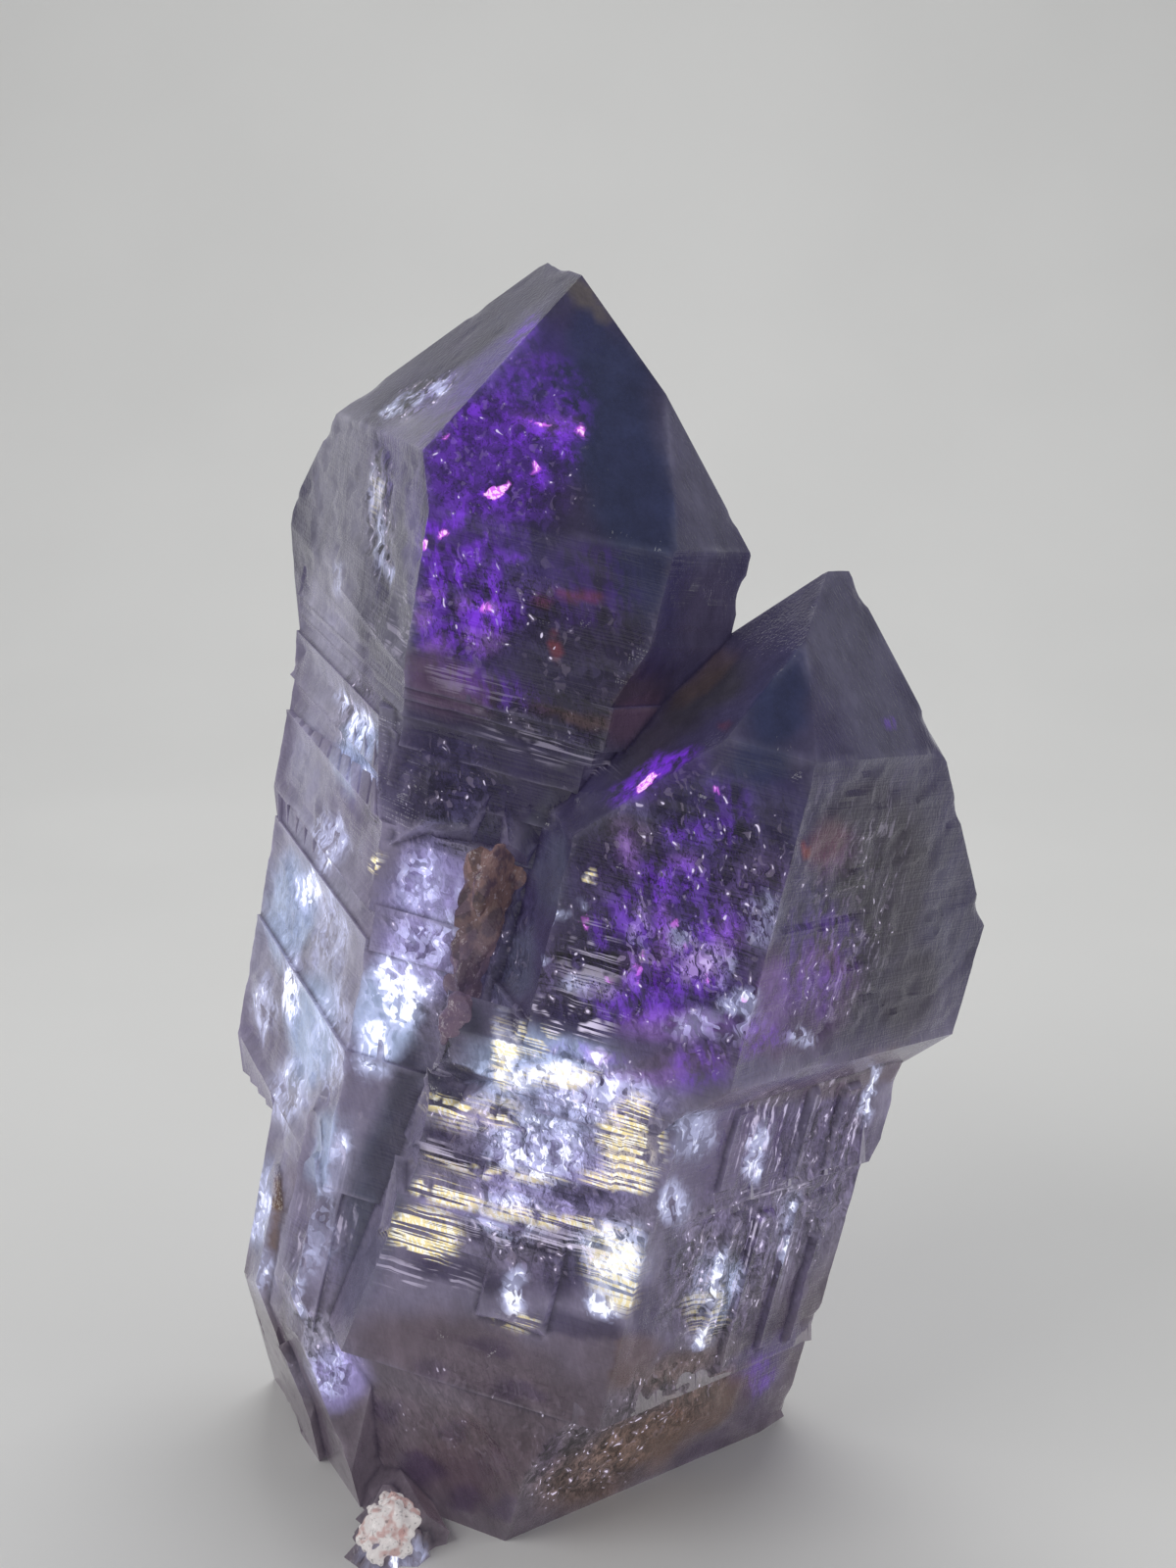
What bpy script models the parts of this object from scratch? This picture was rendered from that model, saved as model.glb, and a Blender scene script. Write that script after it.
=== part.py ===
"""Amethyst scepter: two amethyst heads, grown side by side on one stepped quartz body, cut flat at the foot.

The crystal is laid out in millimetres and written in metres, with the origin at the middle of its foot.
"""

import math
import random

import bmesh
import bpy
from mathutils import Matrix, Vector

MM = 0.001
FLOOR = -45.5  # height of the flat foot in the layout

# Both crystals grow along one axis, which leans to the right of upright.
LEAN = 13.0
AXIS = Vector((math.sin(math.radians(LEAN)), 0, math.cos(math.radians(LEAN))))
RIGHT = Vector((math.cos(math.radians(LEAN)), 0, -math.sin(math.radians(LEAN))))
FRONT = Vector((0, -1, 0))

# The six sides of a quartz prism, by azimuth: 0 faces the front and 90 the right.
TURN = -11.0
SIDE_FRONT = TURN
SIDE_FRONT_RIGHT = TURN + 60
SIDE_BACK_RIGHT = TURN + 120
SIDE_BACK = TURN + 180
SIDE_BACK_LEFT = TURN + 240
SIDE_LEFT = TURN + 300

# Slope of a face's normal from the axis.
UP = 0.0
RHOMB = 51.8
PRISM = 90.0
UNDER = 128.2
DOWN = 180.0

BLANK = 170.0  # side of the block that each crystal is cut from
DEEP = 80.0  # how far a stem runs below its centre, past the foot

TALL_CENTRE = Vector((-3.57, 0, 18.28))
SHORT_CENTRE = Vector((6.75, -3, -3.07))

# The tall crystal's broad left face is turned a little to the front and leans in towards the foot.
BROAD_LEFT = -68.0
BROAD_SLOPE = 92.4

TURNED_IN = 107.0  # slope of a side that turns in towards the foot
CHIP = 32.0  # slope of the worn spots on the tall head's tip
CHIPS = [(40.0, 14.6), (-120.0, 16.3)]  # each spot's azimuth and distance
STEEP_RIGHT = (92.0, 56.2)  # the short head's steep face on the right


def face_normal(azimuth, slope):
    turn, tilt = math.radians(azimuth), math.radians(slope)
    around = FRONT * math.cos(turn) + RIGHT * math.sin(turn)
    return around * math.sin(tilt) + AXIS * math.cos(tilt)


def at(centre, right, front, along):
    """A point by its offsets from a centre, along the crystals' own directions."""
    return Vector(centre) + RIGHT * right + FRONT * front + AXIS * along


def sides(front, front_right, back_right, back, back_left, left=None):
    """The faces of a prism, each by its distance from the centre."""
    faces = [
        (SIDE_FRONT, PRISM, front),
        (SIDE_FRONT_RIGHT, PRISM, front_right),
        (SIDE_BACK_RIGHT, PRISM, back_right),
        (SIDE_BACK, PRISM, back),
        (SIDE_BACK_LEFT, PRISM, back_left),
    ]
    if left is not None:
        faces.append((SIDE_LEFT, PRISM, left))
    return faces


def between(low, high):
    """Two ends square across the axis, by their places along it."""
    return [(0, DOWN, -low), (0, UP, high)]


def cut_block(name, centre, faces, size=BLANK):
    """A convex crystal: a block cut by one plane for each (azimuth, slope, distance from the centre)."""
    mesh = bmesh.new()
    bmesh.ops.create_cube(mesh, size=size, matrix=Matrix.Translation(centre))
    for azimuth, slope, distance in faces:
        normal = face_normal(azimuth, slope)
        cut = bmesh.ops.bisect_plane(
            mesh,
            geom=mesh.verts[:] + mesh.edges[:] + mesh.faces[:],
            plane_co=Vector(centre) + normal * distance,
            plane_no=normal,
            clear_outer=True,
        )
        rim = [e for e in cut["geom_cut"] if isinstance(e, bmesh.types.BMEdge)]
        if rim:
            bmesh.ops.contextual_create(mesh, geom=rim)
    bmesh.ops.recalc_face_normals(mesh, faces=mesh.faces)
    data = bpy.data.meshes.new(name)
    mesh.to_mesh(data)
    mesh.free()
    block = bpy.data.objects.new(name, data)
    block.hide_render = True
    block.display_type = "WIRE"
    bpy.context.scene.collection.objects.link(block)
    return block


def tall_head():
    """Six sides, six uneven faces to the tip, the worn spots near it, and the turned-in lower end."""
    faces = [
        (SIDE_FRONT + 3, PRISM, 11.8),
        (SIDE_FRONT_RIGHT, PRISM, 15.0),
        (SIDE_BACK_RIGHT, PRISM, 10.2),
        (SIDE_BACK, PRISM, 13.5),
        (SIDE_BACK_LEFT, PRISM, 20.9),
        (BROAD_LEFT, BROAD_SLOPE, 9.3),
    ]
    faces += [
        (SIDE_LEFT, RHOMB, 8.7),
        (SIDE_FRONT, RHOMB, 9.2),
        (SIDE_FRONT_RIGHT, RHOMB, 12.3),
        (SIDE_BACK_RIGHT, RHOMB, 8.4),
        (SIDE_BACK, RHOMB, 12.5),
        (SIDE_BACK_LEFT, RHOMB, 12.9),
    ]
    faces += [(azimuth, CHIP, distance) for azimuth, distance in CHIPS]
    faces += [
        (BROAD_LEFT - 1.4, TURNED_IN, 11.2),
        (SIDE_FRONT_RIGHT, TURNED_IN, 15.8),
        (SIDE_BACK, TURNED_IN, 17.5),
        (0, DOWN, 10.8),
    ]
    return [cut_block("tall_head", TALL_CENTRE, faces)]


# Each step down the tall crystal: its lower end along the axis, and its faces' distances.
TALL_STEPS = [
    dict(low=-11.6, front=11.4, front_right=14.0, back_right=9.9, back=12.9, back_left=18.3, left=8.9),
    dict(low=-12.7, front=11.1, front_right=13.4, back_right=9.7, back=12.7, back_left=18.0, left=8.7),
    dict(low=-14.6, front=10.7, front_right=12.8, back_right=9.5, back=12.4, back_left=17.7, left=8.45),
    dict(low=-17.2, front=10.4, front_right=12.3, back_right=9.2, back=12.0, back_left=17.9, left=8.6),
    dict(low=-19.9, front=10.2, front_right=11.8, back_right=8.9, back=11.8, back_left=17.6, left=8.3),
    dict(low=-24.9, front=11.1, front_right=9.9, back_right=9.3, back=12.2, back_left=16.8, left=8.8),
    dict(low=-27.2, front=11.3, front_right=9.6, back_right=9.0, back=11.9, back_left=15.4, left=8.5),
    dict(low=-34.4, front=11.2, front_right=9.8, back_right=8.8, back=11.5, back_left=15.7, left=8.7),
    dict(low=-42.9, front=11.5, front_right=9.7, back_right=9.1, back=11.9, back_left=15.5, left=8.95),
    dict(low=-DEEP, front=11.0, front_right=9.5, back_right=8.6, back=10.8, back_left=6.8, left=8.65),
]
FIRST_STEP = -9.5  # upper end of the first step along the axis
STEP_LAP = 0.6  # how far each step runs up into the one above

# Low on the left the whole body tapers in to the foot.
TAPER_AZIMUTH = -62.4
TAPER_SLOPE = 116.6
TAPER_DISTANCE = 30.5


def left_taper(centre, inset=0.0):
    """The taper as a face of a block with its own centre."""
    normal = face_normal(TAPER_AZIMUTH, TAPER_SLOPE)
    distance = TAPER_DISTANCE - inset - normal.dot(Vector(centre) - TALL_CENTRE)
    return (TAPER_AZIMUTH, TAPER_SLOPE, distance)


def tall_stem():
    """The tall crystal's stem, one block for each step; the last one is tapered."""
    steps = []
    high = FIRST_STEP
    for number, step in enumerate(TALL_STEPS):
        outer = (step[side] for side in ("front", "front_right", "back_right", "back", "back_left"))
        faces = sides(*outer) + [(BROAD_LEFT, BROAD_SLOPE, step["left"])]
        if step["low"] == -DEEP:
            faces.append(left_taper(TALL_CENTRE))
        faces += between(step["low"], high + STEP_LAP)
        steps.append(cut_block(f"tall_step_{number}", TALL_CENTRE, faces))
        high = step["low"]
    return steps


def short_head():
    """Six sides and six uneven faces to the tip, with slanting undersides where it overhangs the stem."""
    faces = sides(front=14.4, front_right=12.9, back_right=20.0, back=12.0, back_left=12.0, left=12.2)
    faces += [
        (SIDE_LEFT, RHOMB, 11.1),
        (SIDE_FRONT, RHOMB, 17.7),
        (SIDE_FRONT_RIGHT, RHOMB, 16.5),
        (SIDE_BACK_RIGHT, RHOMB, 14.4),
        (SIDE_BACK, RHOMB, 12.0),
        (SIDE_BACK_LEFT, RHOMB, 7.5),
    ]
    faces += [
        (*STEEP_RIGHT, 16.2),
        (SIDE_FRONT_RIGHT, UNDER, 16.2),
        (SIDE_BACK_RIGHT, UNDER, 21.8),
        (SIDE_BACK, UNDER, 15.6),
        (0, DOWN, 13.5),
    ]
    return [cut_block("short_head", SHORT_CENTRE, faces)]


# The lower body flares out to the left, then turns in all round at the foot; azimuth and slope of each face.
FLARE = 82.6
TURN_IN_LEFT = (-66.0, 122.4)
TURN_IN_FRONT_LEFT = (-29.1, 110.7)
TURN_IN_FRONT_RIGHT = (41.0, 106.8)
TURN_IN_BACK_RIGHT = (SIDE_BACK_RIGHT, 112.0)


def short_stem():
    """Three steps under the short head, with a shoulder on the left of the first."""
    upper = sides(front=14.3, front_right=10.9, back_right=17.4, back=10.6, back_left=11.7, left=12.6)
    upper += [(*TURN_IN_BACK_RIGHT, 22.9)] + between(-19.6, -9.0)
    shoulder = sides(front=14.2, front_right=9.0, back_right=8.0, back=6.3, back_left=14.5)
    shoulder += [(SIDE_LEFT, FLARE, 13.5), (SIDE_LEFT, RHOMB, 2.05)] + between(-19.4, -11.0)
    middle = sides(front=14.1, front_right=10.6, back_right=16.3, back=10.0, back_left=16.0)
    middle += [(SIDE_LEFT, FLARE, 13.3), (*TURN_IN_LEFT, 33.8)] + between(-33.2, -19.0)
    foot = sides(front=14.0, front_right=9.8, back_right=16.5, back=10.2, back_left=16.2)
    foot += [(SIDE_LEFT, FLARE, 13.1), (*TURN_IN_LEFT, 33.6), (*TURN_IN_FRONT_LEFT, 25.7)]
    foot += [(*TURN_IN_FRONT_RIGHT, 19.5)] + between(-DEEP, -32.8)
    named = dict(short_upper=upper, short_shoulder=shoulder, short_middle=middle, short_foot=foot)
    return [cut_block(name, SHORT_CENTRE, faces) for name, faces in named.items()]


# Raised strips on a side: place across it, half width, the side's distance, height, lower and upper ends.
STRIPS = {
    SIDE_FRONT_RIGHT: [
        (-3.9, 0.8, 10.9, 0.3, -18.2, -12.6),
        (3.4, 0.5, 10.9, 0.5, -18.9, -12.4),
        (8.0, 0.8, 10.9, 0.45, -19.2, -12.9),
        (-1.2, 0.6, 10.6, 0.45, -30.2, -20.4),
        (2.2, 0.9, 10.6, 0.4, -32.6, -21.0),
        (6.1, 0.7, 10.6, 0.35, -32.0, -20.8),
        (9.2, 0.5, 10.6, 0.5, -32.3, -24.0),
    ],
    SIDE_FRONT: [
        (-5.5, 4.2, 14.3, 0.3, -13.2, -10.4),
        (-1.5, 2.6, 14.3, 0.35, -18.0, -14.0),
        (-7.3, 2.9, 14.2, 0.4, -18.4, -15.4),
        (-5.8, 4.8, 14.1, 0.35, -24.5, -21.6),
        (-2.6, 2.0, 14.1, 0.5, -28.2, -22.4),
    ],
    SIDE_BACK: [
        (-5.0, 2.2, 10.6, 0.35, -17.0, -12.5),
        (-8.4, 1.4, 10.0, 0.4, -30.5, -21.5),
        (-3.6, 1.8, 10.0, 0.3, -28.0, -20.6),
    ],
}
STRIP_ROOT = 1.5  # how far a strip runs into its side
STRIP_EDGE = 62.0  # azimuth of a strip's edges from its side
STRIP_END = 40.0  # slope of a strip's ends


def strips():
    """Ribs and low plates left by growth on the short crystal's sides."""
    blocks = []
    for side, rows in STRIPS.items():
        across = face_normal(side + 90, PRISM)
        outward = face_normal(side, PRISM)
        for number, (place, half, distance, height, low, high) in enumerate(rows):
            middle, reach = (low + high) / 2, (high - low) / 2
            centre = SHORT_CENTRE + across * place + outward * distance + AXIS * middle
            faces = [
                (side, PRISM, height),
                (side + 180, PRISM, STRIP_ROOT),
                (side + STRIP_EDGE, PRISM, half),
                (side - STRIP_EDGE, PRISM, half),
                (side, STRIP_END, reach * math.cos(math.radians(STRIP_END))),
                (side, 180 - STRIP_END, reach * math.cos(math.radians(STRIP_END))),
            ]
            blocks.append(cut_block(f"strip_{side:.0f}_{number}", centre, faces))
    return blocks


UNEVEN = 0.12  # how much a small crystal's sides differ in distance
TIP_STEP = 0.25  # how much every second tip face stands out, as a part of the radius


def small_crystal(name, centre, radius, height, slant, inset):
    """A small parallel crystal, its tip at a height above its centre, its prism run down past the foot."""
    faces = []
    for number in range(6):
        azimuth = TURN + 60 * number + slant
        faces.append((azimuth, PRISM, radius * (1.0 + UNEVEN * math.cos(2 * number))))
        step = TIP_STEP * radius * (number % 2)
        faces.append((azimuth, RHOMB, height * math.cos(math.radians(RHOMB)) + step))
    faces += [left_taper(centre, inset), (0, DOWN, DEEP / 2)]
    return cut_block(name, centre, faces)


# The small crystals on the lower left: place from the short crystal's centre, radius, height, slant, inset.
SIDE_CRYSTALS = {
    "side_crystal_front": ((-17.2, 4.2, -27.0), 2.7, 8.4, 3.0, 0.5),
    "side_crystal_tip": ((-17.6, 5.9, -30.0), 1.9, 8.2, 8.0, 0.8),
    "side_crystal_left": ((-19.4, -1.8, -34.0), 2.6, 7.6, -6.0, -0.3),
    "side_crystal_low": ((-17.0, 1.5, -42.0), 2.6, 4.6, 14.0, -0.6),
}


def side_crystals():
    crystals = []
    for name, (place, *shape) in SIDE_CRYSTALS.items():
        crystals.append(small_crystal(name, at(SHORT_CENTRE, *place), *shape))
    return crystals


SLIVER_CENTRE = Vector((-14.8, -5.6, -44.9))
SLIVER_ALONG = 24.8  # azimuth of its front end


def sliver():
    """The thin blade that runs along the foot from the side crystals to the front."""
    faces = [
        (SLIVER_ALONG, PRISM, 10.6),
        (SLIVER_ALONG + 180, PRISM, 10.0),
        (SLIVER_ALONG + 90, PRISM, 1.6),
        (SLIVER_ALONG - 90, PRISM, 1.7),
        (SLIVER_ALONG + 90, 35.0, 2.3),
        (SLIVER_ALONG - 90, 52.0, 2.0),
    ]
    return [cut_block("sliver", SLIVER_CENTRE, faces)]


DRUSE_CENTRE = Vector((-12.0, -14.2, -44.6))
DRUSE_COUNT = 12
DRUSE_SPREAD = (1.5, 2.6, 0.9)  # how far the lumps lie from the centre each way
LUMP_RADIUS = (0.7, 1.2)
LUMP_SIDE = (60.0, 82.0)  # slopes of a lump's sides
LUMP_TOP = (20.0, 45.0)  # slopes of its upper faces
LUMP_WANDER = 14.0  # how far a side turns from regular
LUMP_ROOT = 3.0


def druse():
    """The pale lumpy crust of tiny crystals at the front left of the foot."""
    random.seed(11)
    lumps = []
    for number in range(DRUSE_COUNT):
        offset = Vector([random.uniform(-1, 1) * reach for reach in DRUSE_SPREAD])
        radius = random.uniform(*LUMP_RADIUS)
        faces = [(0, DOWN, LUMP_ROOT)]
        for side in range(6):
            turn = side * 60 + random.uniform(-LUMP_WANDER, LUMP_WANDER)
            faces.append((turn, random.uniform(*LUMP_SIDE), radius * random.uniform(0.8, 1.0)))
            faces.append((turn + 30, random.uniform(*LUMP_TOP), radius * random.uniform(0.85, 1.1)))
        lumps.append(cut_block(f"druse_{number}", DRUSE_CENTRE + offset, faces))
    return lumps


# What fills the cleft between the crystals: place from the tall crystal's centre, size of the blank, faces.
CLEFT = {
    "cleft_facets": (
        (-0.8, 8.0, -16.5),
        9.0,
        [(-38, 84, 3.4), (4, 76, 3.1), (46, 100, 3.6), (-10, 48, 3.3), (10, 122, 3.9)],
    ),
    "cleft_ledge": (
        (3.6, 8.4, -18.0),
        8.0,
        [(-60, 95, 2.2), (10, 66, 2.9), (60, 104, 2.6), (-20, 130, 3.0)],
    ),
    "cleft_vein": (
        (4.7, 8.3, -25.6),
        16.0,
        [(-40, 88, 2.5), (14, 92, 2.4), (60, 96, 2.9), (0, 25, 6.2), (-20, 150, 7.4), (30, 62, 4.9)],
    ),
}


def cleft():
    """Small facets and a ledge under the tall head, and a rough vein below them."""
    blocks = []
    for name, (place, size, faces) in CLEFT.items():
        blocks.append(cut_block(name, at(TALL_CENTRE, *place), faces, size))
    return blocks


def join(name, blocks):
    """One solid: the first block with every other one joined to it."""
    crystal = blocks[0]
    for block in blocks[1:]:
        union = crystal.modifiers.new(block.name, "BOOLEAN")
        union.operation = "UNION"
        union.solver = "EXACT"
        union.object = block
    depsgraph = bpy.context.evaluated_depsgraph_get()
    data = bpy.data.meshes.new_from_object(crystal.evaluated_get(depsgraph))
    for block in blocks:
        bpy.data.objects.remove(block)
    data.name = name
    return data


def cut_foot(data):
    """Cuts the joined crystal off level at the floor."""
    mesh = bmesh.new()
    mesh.from_mesh(data)
    cut = bmesh.ops.bisect_plane(
        mesh,
        geom=mesh.verts[:] + mesh.edges[:] + mesh.faces[:],
        plane_co=(0, 0, FLOOR),
        plane_no=(0, 0, -1),
        clear_outer=True,
    )
    rim = [e for e in cut["geom_cut"] if isinstance(e, bmesh.types.BMEdge)]
    bmesh.ops.contextual_create(mesh, geom=rim)
    mesh.to_mesh(data)
    mesh.free()


def grow():
    """The whole crystal's mesh, in millimetres, in the layout."""
    blocks = tall_head() + tall_stem() + short_head() + short_stem()
    blocks += strips() + cleft() + side_crystals() + sliver() + druse()
    data = join("amethyst_crystal", blocks)
    cut_foot(data)
    return data


def stand_on_origin(data):
    """Moves the mesh so that the origin is at the middle of its foot, and scales it to metres."""
    lowest = [min(v.co[i] for v in data.vertices) for i in range(3)]
    highest = [max(v.co[i] for v in data.vertices) for i in range(3)]
    foot = Vector(((lowest[0] + highest[0]) / 2, (lowest[1] + highest[1]) / 2, FLOOR))
    data.transform(Matrix.Scale(MM, 4) @ Matrix.Translation(-foot))


def amethyst():
    """Clear quartz, grey violet."""
    material = bpy.data.materials.new("amethyst")
    material.use_nodes = True
    shader = material.node_tree.nodes["Principled BSDF"]
    shader.inputs["Base Color"].default_value = (0.30, 0.22, 0.50, 1)
    shader.inputs["Roughness"].default_value = 0.08
    shader.inputs["Metallic"].default_value = 0
    shader.inputs["IOR"].default_value = 1.544
    shader.inputs["Transmission Weight"].default_value = 0.9
    return material


def main():
    for thing in list(bpy.data.objects):
        bpy.data.objects.remove(thing)
    data = grow()
    stand_on_origin(data)
    data.materials.clear()
    data.materials.append(amethyst())
    crystal = bpy.data.objects.new("amethyst_crystal", data)
    bpy.context.scene.collection.objects.link(crystal)


if __name__ == "__main__":
    main()
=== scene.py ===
import math
import random

import bmesh
import bpy
import numpy as np
from mathutils import Matrix, Vector, geometry, noise
from mathutils.bvhtree import BVHTree
from mathutils.kdtree import KDTree


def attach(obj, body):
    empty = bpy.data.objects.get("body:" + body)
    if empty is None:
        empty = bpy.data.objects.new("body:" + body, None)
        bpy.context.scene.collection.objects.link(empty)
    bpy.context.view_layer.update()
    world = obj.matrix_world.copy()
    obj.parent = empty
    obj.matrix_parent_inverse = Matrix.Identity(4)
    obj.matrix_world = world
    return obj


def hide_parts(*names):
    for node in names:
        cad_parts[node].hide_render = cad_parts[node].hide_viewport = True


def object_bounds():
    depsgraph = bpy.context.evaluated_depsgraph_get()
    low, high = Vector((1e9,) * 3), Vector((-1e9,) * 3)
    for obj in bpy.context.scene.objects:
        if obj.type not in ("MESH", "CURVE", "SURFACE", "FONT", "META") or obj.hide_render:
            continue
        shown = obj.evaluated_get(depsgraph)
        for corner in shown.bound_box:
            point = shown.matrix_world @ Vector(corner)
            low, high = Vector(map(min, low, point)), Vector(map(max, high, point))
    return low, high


# Amethyst scepter: the crystal's fine relief and finish, and the two small crusts that lie on it.
# Lengths are in millimetres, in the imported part's frame, until a mesh is written.
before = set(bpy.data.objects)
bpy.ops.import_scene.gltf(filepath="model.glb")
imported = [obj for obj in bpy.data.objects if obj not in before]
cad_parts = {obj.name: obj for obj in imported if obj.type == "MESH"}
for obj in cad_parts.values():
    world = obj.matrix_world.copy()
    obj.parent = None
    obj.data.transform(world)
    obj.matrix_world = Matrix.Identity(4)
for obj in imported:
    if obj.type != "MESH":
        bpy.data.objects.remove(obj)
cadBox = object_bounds()
metres = 0.001  # in a millimetre
quartzIor = 1.544
print("frame loaded:", sorted(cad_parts))

# the crystal's own directions, and the middles of its two heads
lean = math.radians(13.0)
axis = Vector((math.sin(lean), 0, math.cos(lean)))
across = Vector((math.cos(lean), 0, -math.sin(lean)))
tallCentre = Vector((-4.10, 1.01, 63.78))
shortCentre = Vector((6.22, -1.99, 42.43))

# the photograph's viewing angle
shot = {
    "place": (-0.526, -139.05, 83.03),
    "elevation": 15.0,
    "lens": 52.2,
    "frame": (1200, 1600),
    "focal": 2320.0,  # in pixels of the photograph
    "scale": 16,  # its pixels to a millimetre at the crystal
}


def addCamera():
    data = bpy.data.cameras.new("photoCamera")
    data.lens = shot["lens"]
    data.clip_start = 0.005
    data.clip_end = 5.0
    camera = bpy.data.objects.new("photoCamera", data)
    camera.location = Vector(shot["place"]) * metres
    camera.rotation_euler = (math.radians(90 - shot["elevation"]), 0, 0)
    bpy.context.scene.collection.objects.link(camera)
    bpy.context.scene.camera = camera
    print("camera:", shot["lens"], "mm, looking down", shot["elevation"], "degrees")


class Lookout:
    # A place to look from, which turns a point into a pixel and a pixel into a point on the crystal.
    def __init__(self, azimuth=0.0):
        turn = Matrix.Rotation(math.radians(azimuth), 3, "Z")
        tilt = math.radians(shot["elevation"])
        self.place = np.array(turn @ Vector(shot["place"]))
        self.view = np.array(turn @ Vector((0, math.cos(tilt), -math.sin(tilt))))
        self.right = np.array(turn @ Vector((1, 0, 0)))
        self.up = np.cross(self.right, self.view)

    def pixels(self, points):
        offset = points - self.place
        depth = offset @ self.view
        x = shot["frame"][0] / 2 + shot["focal"] * (offset @ self.right) / depth
        y = shot["frame"][1] / 2 - shot["focal"] * (offset @ self.up) / depth
        return x, y, depth

    def hit(self, x, y, tree):
        aside = self.right * (x - shot["frame"][0] / 2) + self.up * (shot["frame"][1] / 2 - y)
        ray = Vector(self.view * shot["focal"] + aside).normalized()
        place, normal, _, _ = tree.ray_cast(Vector(self.place), ray)
        return place, normal


class Wire:
    # One output socket. Sums and products of wires and numbers add their Math nodes.
    def __init__(self, sheet, socket):
        self.sheet = sheet
        self.socket = socket

    def output(self, out):
        # another output of the same node
        return Wire(self.sheet, self.socket.node.outputs[out])

    def math(self, operation, first, second=0.0):
        return self.sheet.add("ShaderNodeMath", {"operation": operation}, {0: first, 1: second})

    def __add__(self, other):
        return self.math("ADD", self, other)

    def __radd__(self, other):
        return self.math("ADD", other, self)

    def __sub__(self, other):
        return self.math("SUBTRACT", self, other)

    def __rsub__(self, other):
        return self.math("SUBTRACT", other, self)

    def __mul__(self, other):
        return self.math("MULTIPLY", self, other)

    def __rmul__(self, other):
        return self.math("MULTIPLY", other, self)

    def least(self, other):
        return self.math("MINIMUM", self, other)

    def most(self, other):
        return self.math("MAXIMUM", self, other)

    def size(self):
        return self.math("ABSOLUTE", self)

    def steps(self, low, high):
        # 0 at low, 1 at high and smooth between them; low may be the larger one
        ends = {"From Min": low, "From Max": high, "Value": self}
        return self.sheet.add("ShaderNodeMapRange", {"interpolation_type": "SMOOTHSTEP"}, ends)


class Sheet:
    # One material's nodes.
    def __init__(self, name):
        self.material = bpy.data.materials.new(name)
        self.material.use_nodes = True
        self.nodes = self.material.node_tree.nodes
        self.links = self.material.node_tree.links
        self.nodes.clear()
        self.output = self.nodes.new("ShaderNodeOutputMaterial")

    def add(self, kind, settings, inputs, out=0):
        node = self.nodes.new(kind)
        for key, value in settings.items():
            setattr(node, key, value)
        for key, value in inputs.items():
            socket = node.inputs[key]
            if isinstance(value, Wire):
                self.links.new(value.socket, socket)
            elif socket.type == "RGBA" and len(value) == 3:
                socket.default_value = (*value, 1)
            else:
                socket.default_value = value
        return Wire(self, node.outputs[out])

    def blend(self, factor, first, second, mode="MIX"):
        settings = {"data_type": "RGBA", "blend_type": mode}
        return self.add("ShaderNodeMix", settings, {0: factor, 6: first, 7: second}, 2)

    def dimmed(self, colour, share):
        return self.blend(1.0, colour, (share,) * 3, "MULTIPLY")

    def bump(self, height, strength, reach):
        return self.add("ShaderNodeBump", {}, {"Strength": strength, "Distance": reach, "Height": height})

    def painted(self, name, out=2):
        # a value painted on the mesh, or with out 0 a colour
        return self.add("ShaderNodeAttribute", {"attribute_name": name}, {}, out)

    def crystalSpace(self, slant=0.0):
        # millimetres along the crystal's own directions: across, depth and along
        place = self.add("ShaderNodeTexCoord", {}, {}, 3)
        turn = {"Vector": place, "Rotation": (0, -lean + slant, 0), "Scale": (1000, 1000, 1000)}
        return self.add("ShaderNodeMapping", {}, turn)

    def stretched(self, space, scale):
        return self.add("ShaderNodeVectorMath", {"operation": "MULTIPLY"}, {0: space, 1: scale})

    def noise(self, space, scale, stretch, detail, rough):
        place = self.stretched(space, stretch)
        inputs = {"Vector": place, "Scale": scale, "Detail": detail, "Roughness": rough}
        return self.add("ShaderNodeTexNoise", {}, inputs)

    def noiseVector(self, space, scale):
        # a small wandering offset, up to about half a millimetre each way
        wander = self.add("ShaderNodeTexNoise", {}, {"Vector": space, "Scale": scale, "Detail": 0.0}, 1)
        return self.add("ShaderNodeVectorMath", {"operation": "SUBTRACT"}, {0: wander, 1: (0.5, 0.5, 0.5)})

    def cells(self, space, scale, stretch):
        # one brightness for each cell; output 0 of the same node is the distance from its middle
        inputs = {"Vector": self.stretched(space, stretch), "Scale": scale}
        return self.add("ShaderNodeTexVoronoi", {}, inputs, 1)

    def stone(self, colour, roughness, light, bump, clear=0.0):
        # quartz, from 0 for clouded to 1 for clear, with painted light given off as emission, standing in
        # for light from inside it
        return self.add("ShaderNodeBsdfPrincipled", {}, {
            "Base Color": colour,
            "Roughness": roughness,
            "IOR": quartzIor,
            "Transmission Weight": clear,
            "Emission Color": light,
            "Emission Strength": 1.0,
            "Normal": bump,
        })

    def finish(self, surface, volume=None):
        self.links.new(surface.socket, self.output.inputs["Surface"])
        if volume:
            self.links.new(volume.socket, self.output.inputs["Volume"])
        return self.material


# the crystal's skin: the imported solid, cut into a fine even mesh
skin = {
    "gapAcross": 0.41,
    "gapAlong": 0.34,
    "striation": 0.07,  # depth of the fine growth lines on the prism sides
    "terrace": 0.16,  # depth of the broader growth steps
    "ripple": 0.42,  # the waves of the broad left face
    "crumple": 0.22,  # the dented cells of the rough zones
    "rib": 0.16,  # the upright ribs
    "pit": 0.12,
    "nick": 0.26,  # deepest nick in an edge
    "waveRows": (560, 700, 1210, 1330),  # the pixel rows where the waves begin, are full, fade and end
    "sharp": 24.0,  # degrees between two faces from which their edge stays sharp
    "weld": 0.003,
    "level": 0.7,  # degrees under which two faces are one
}

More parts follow.
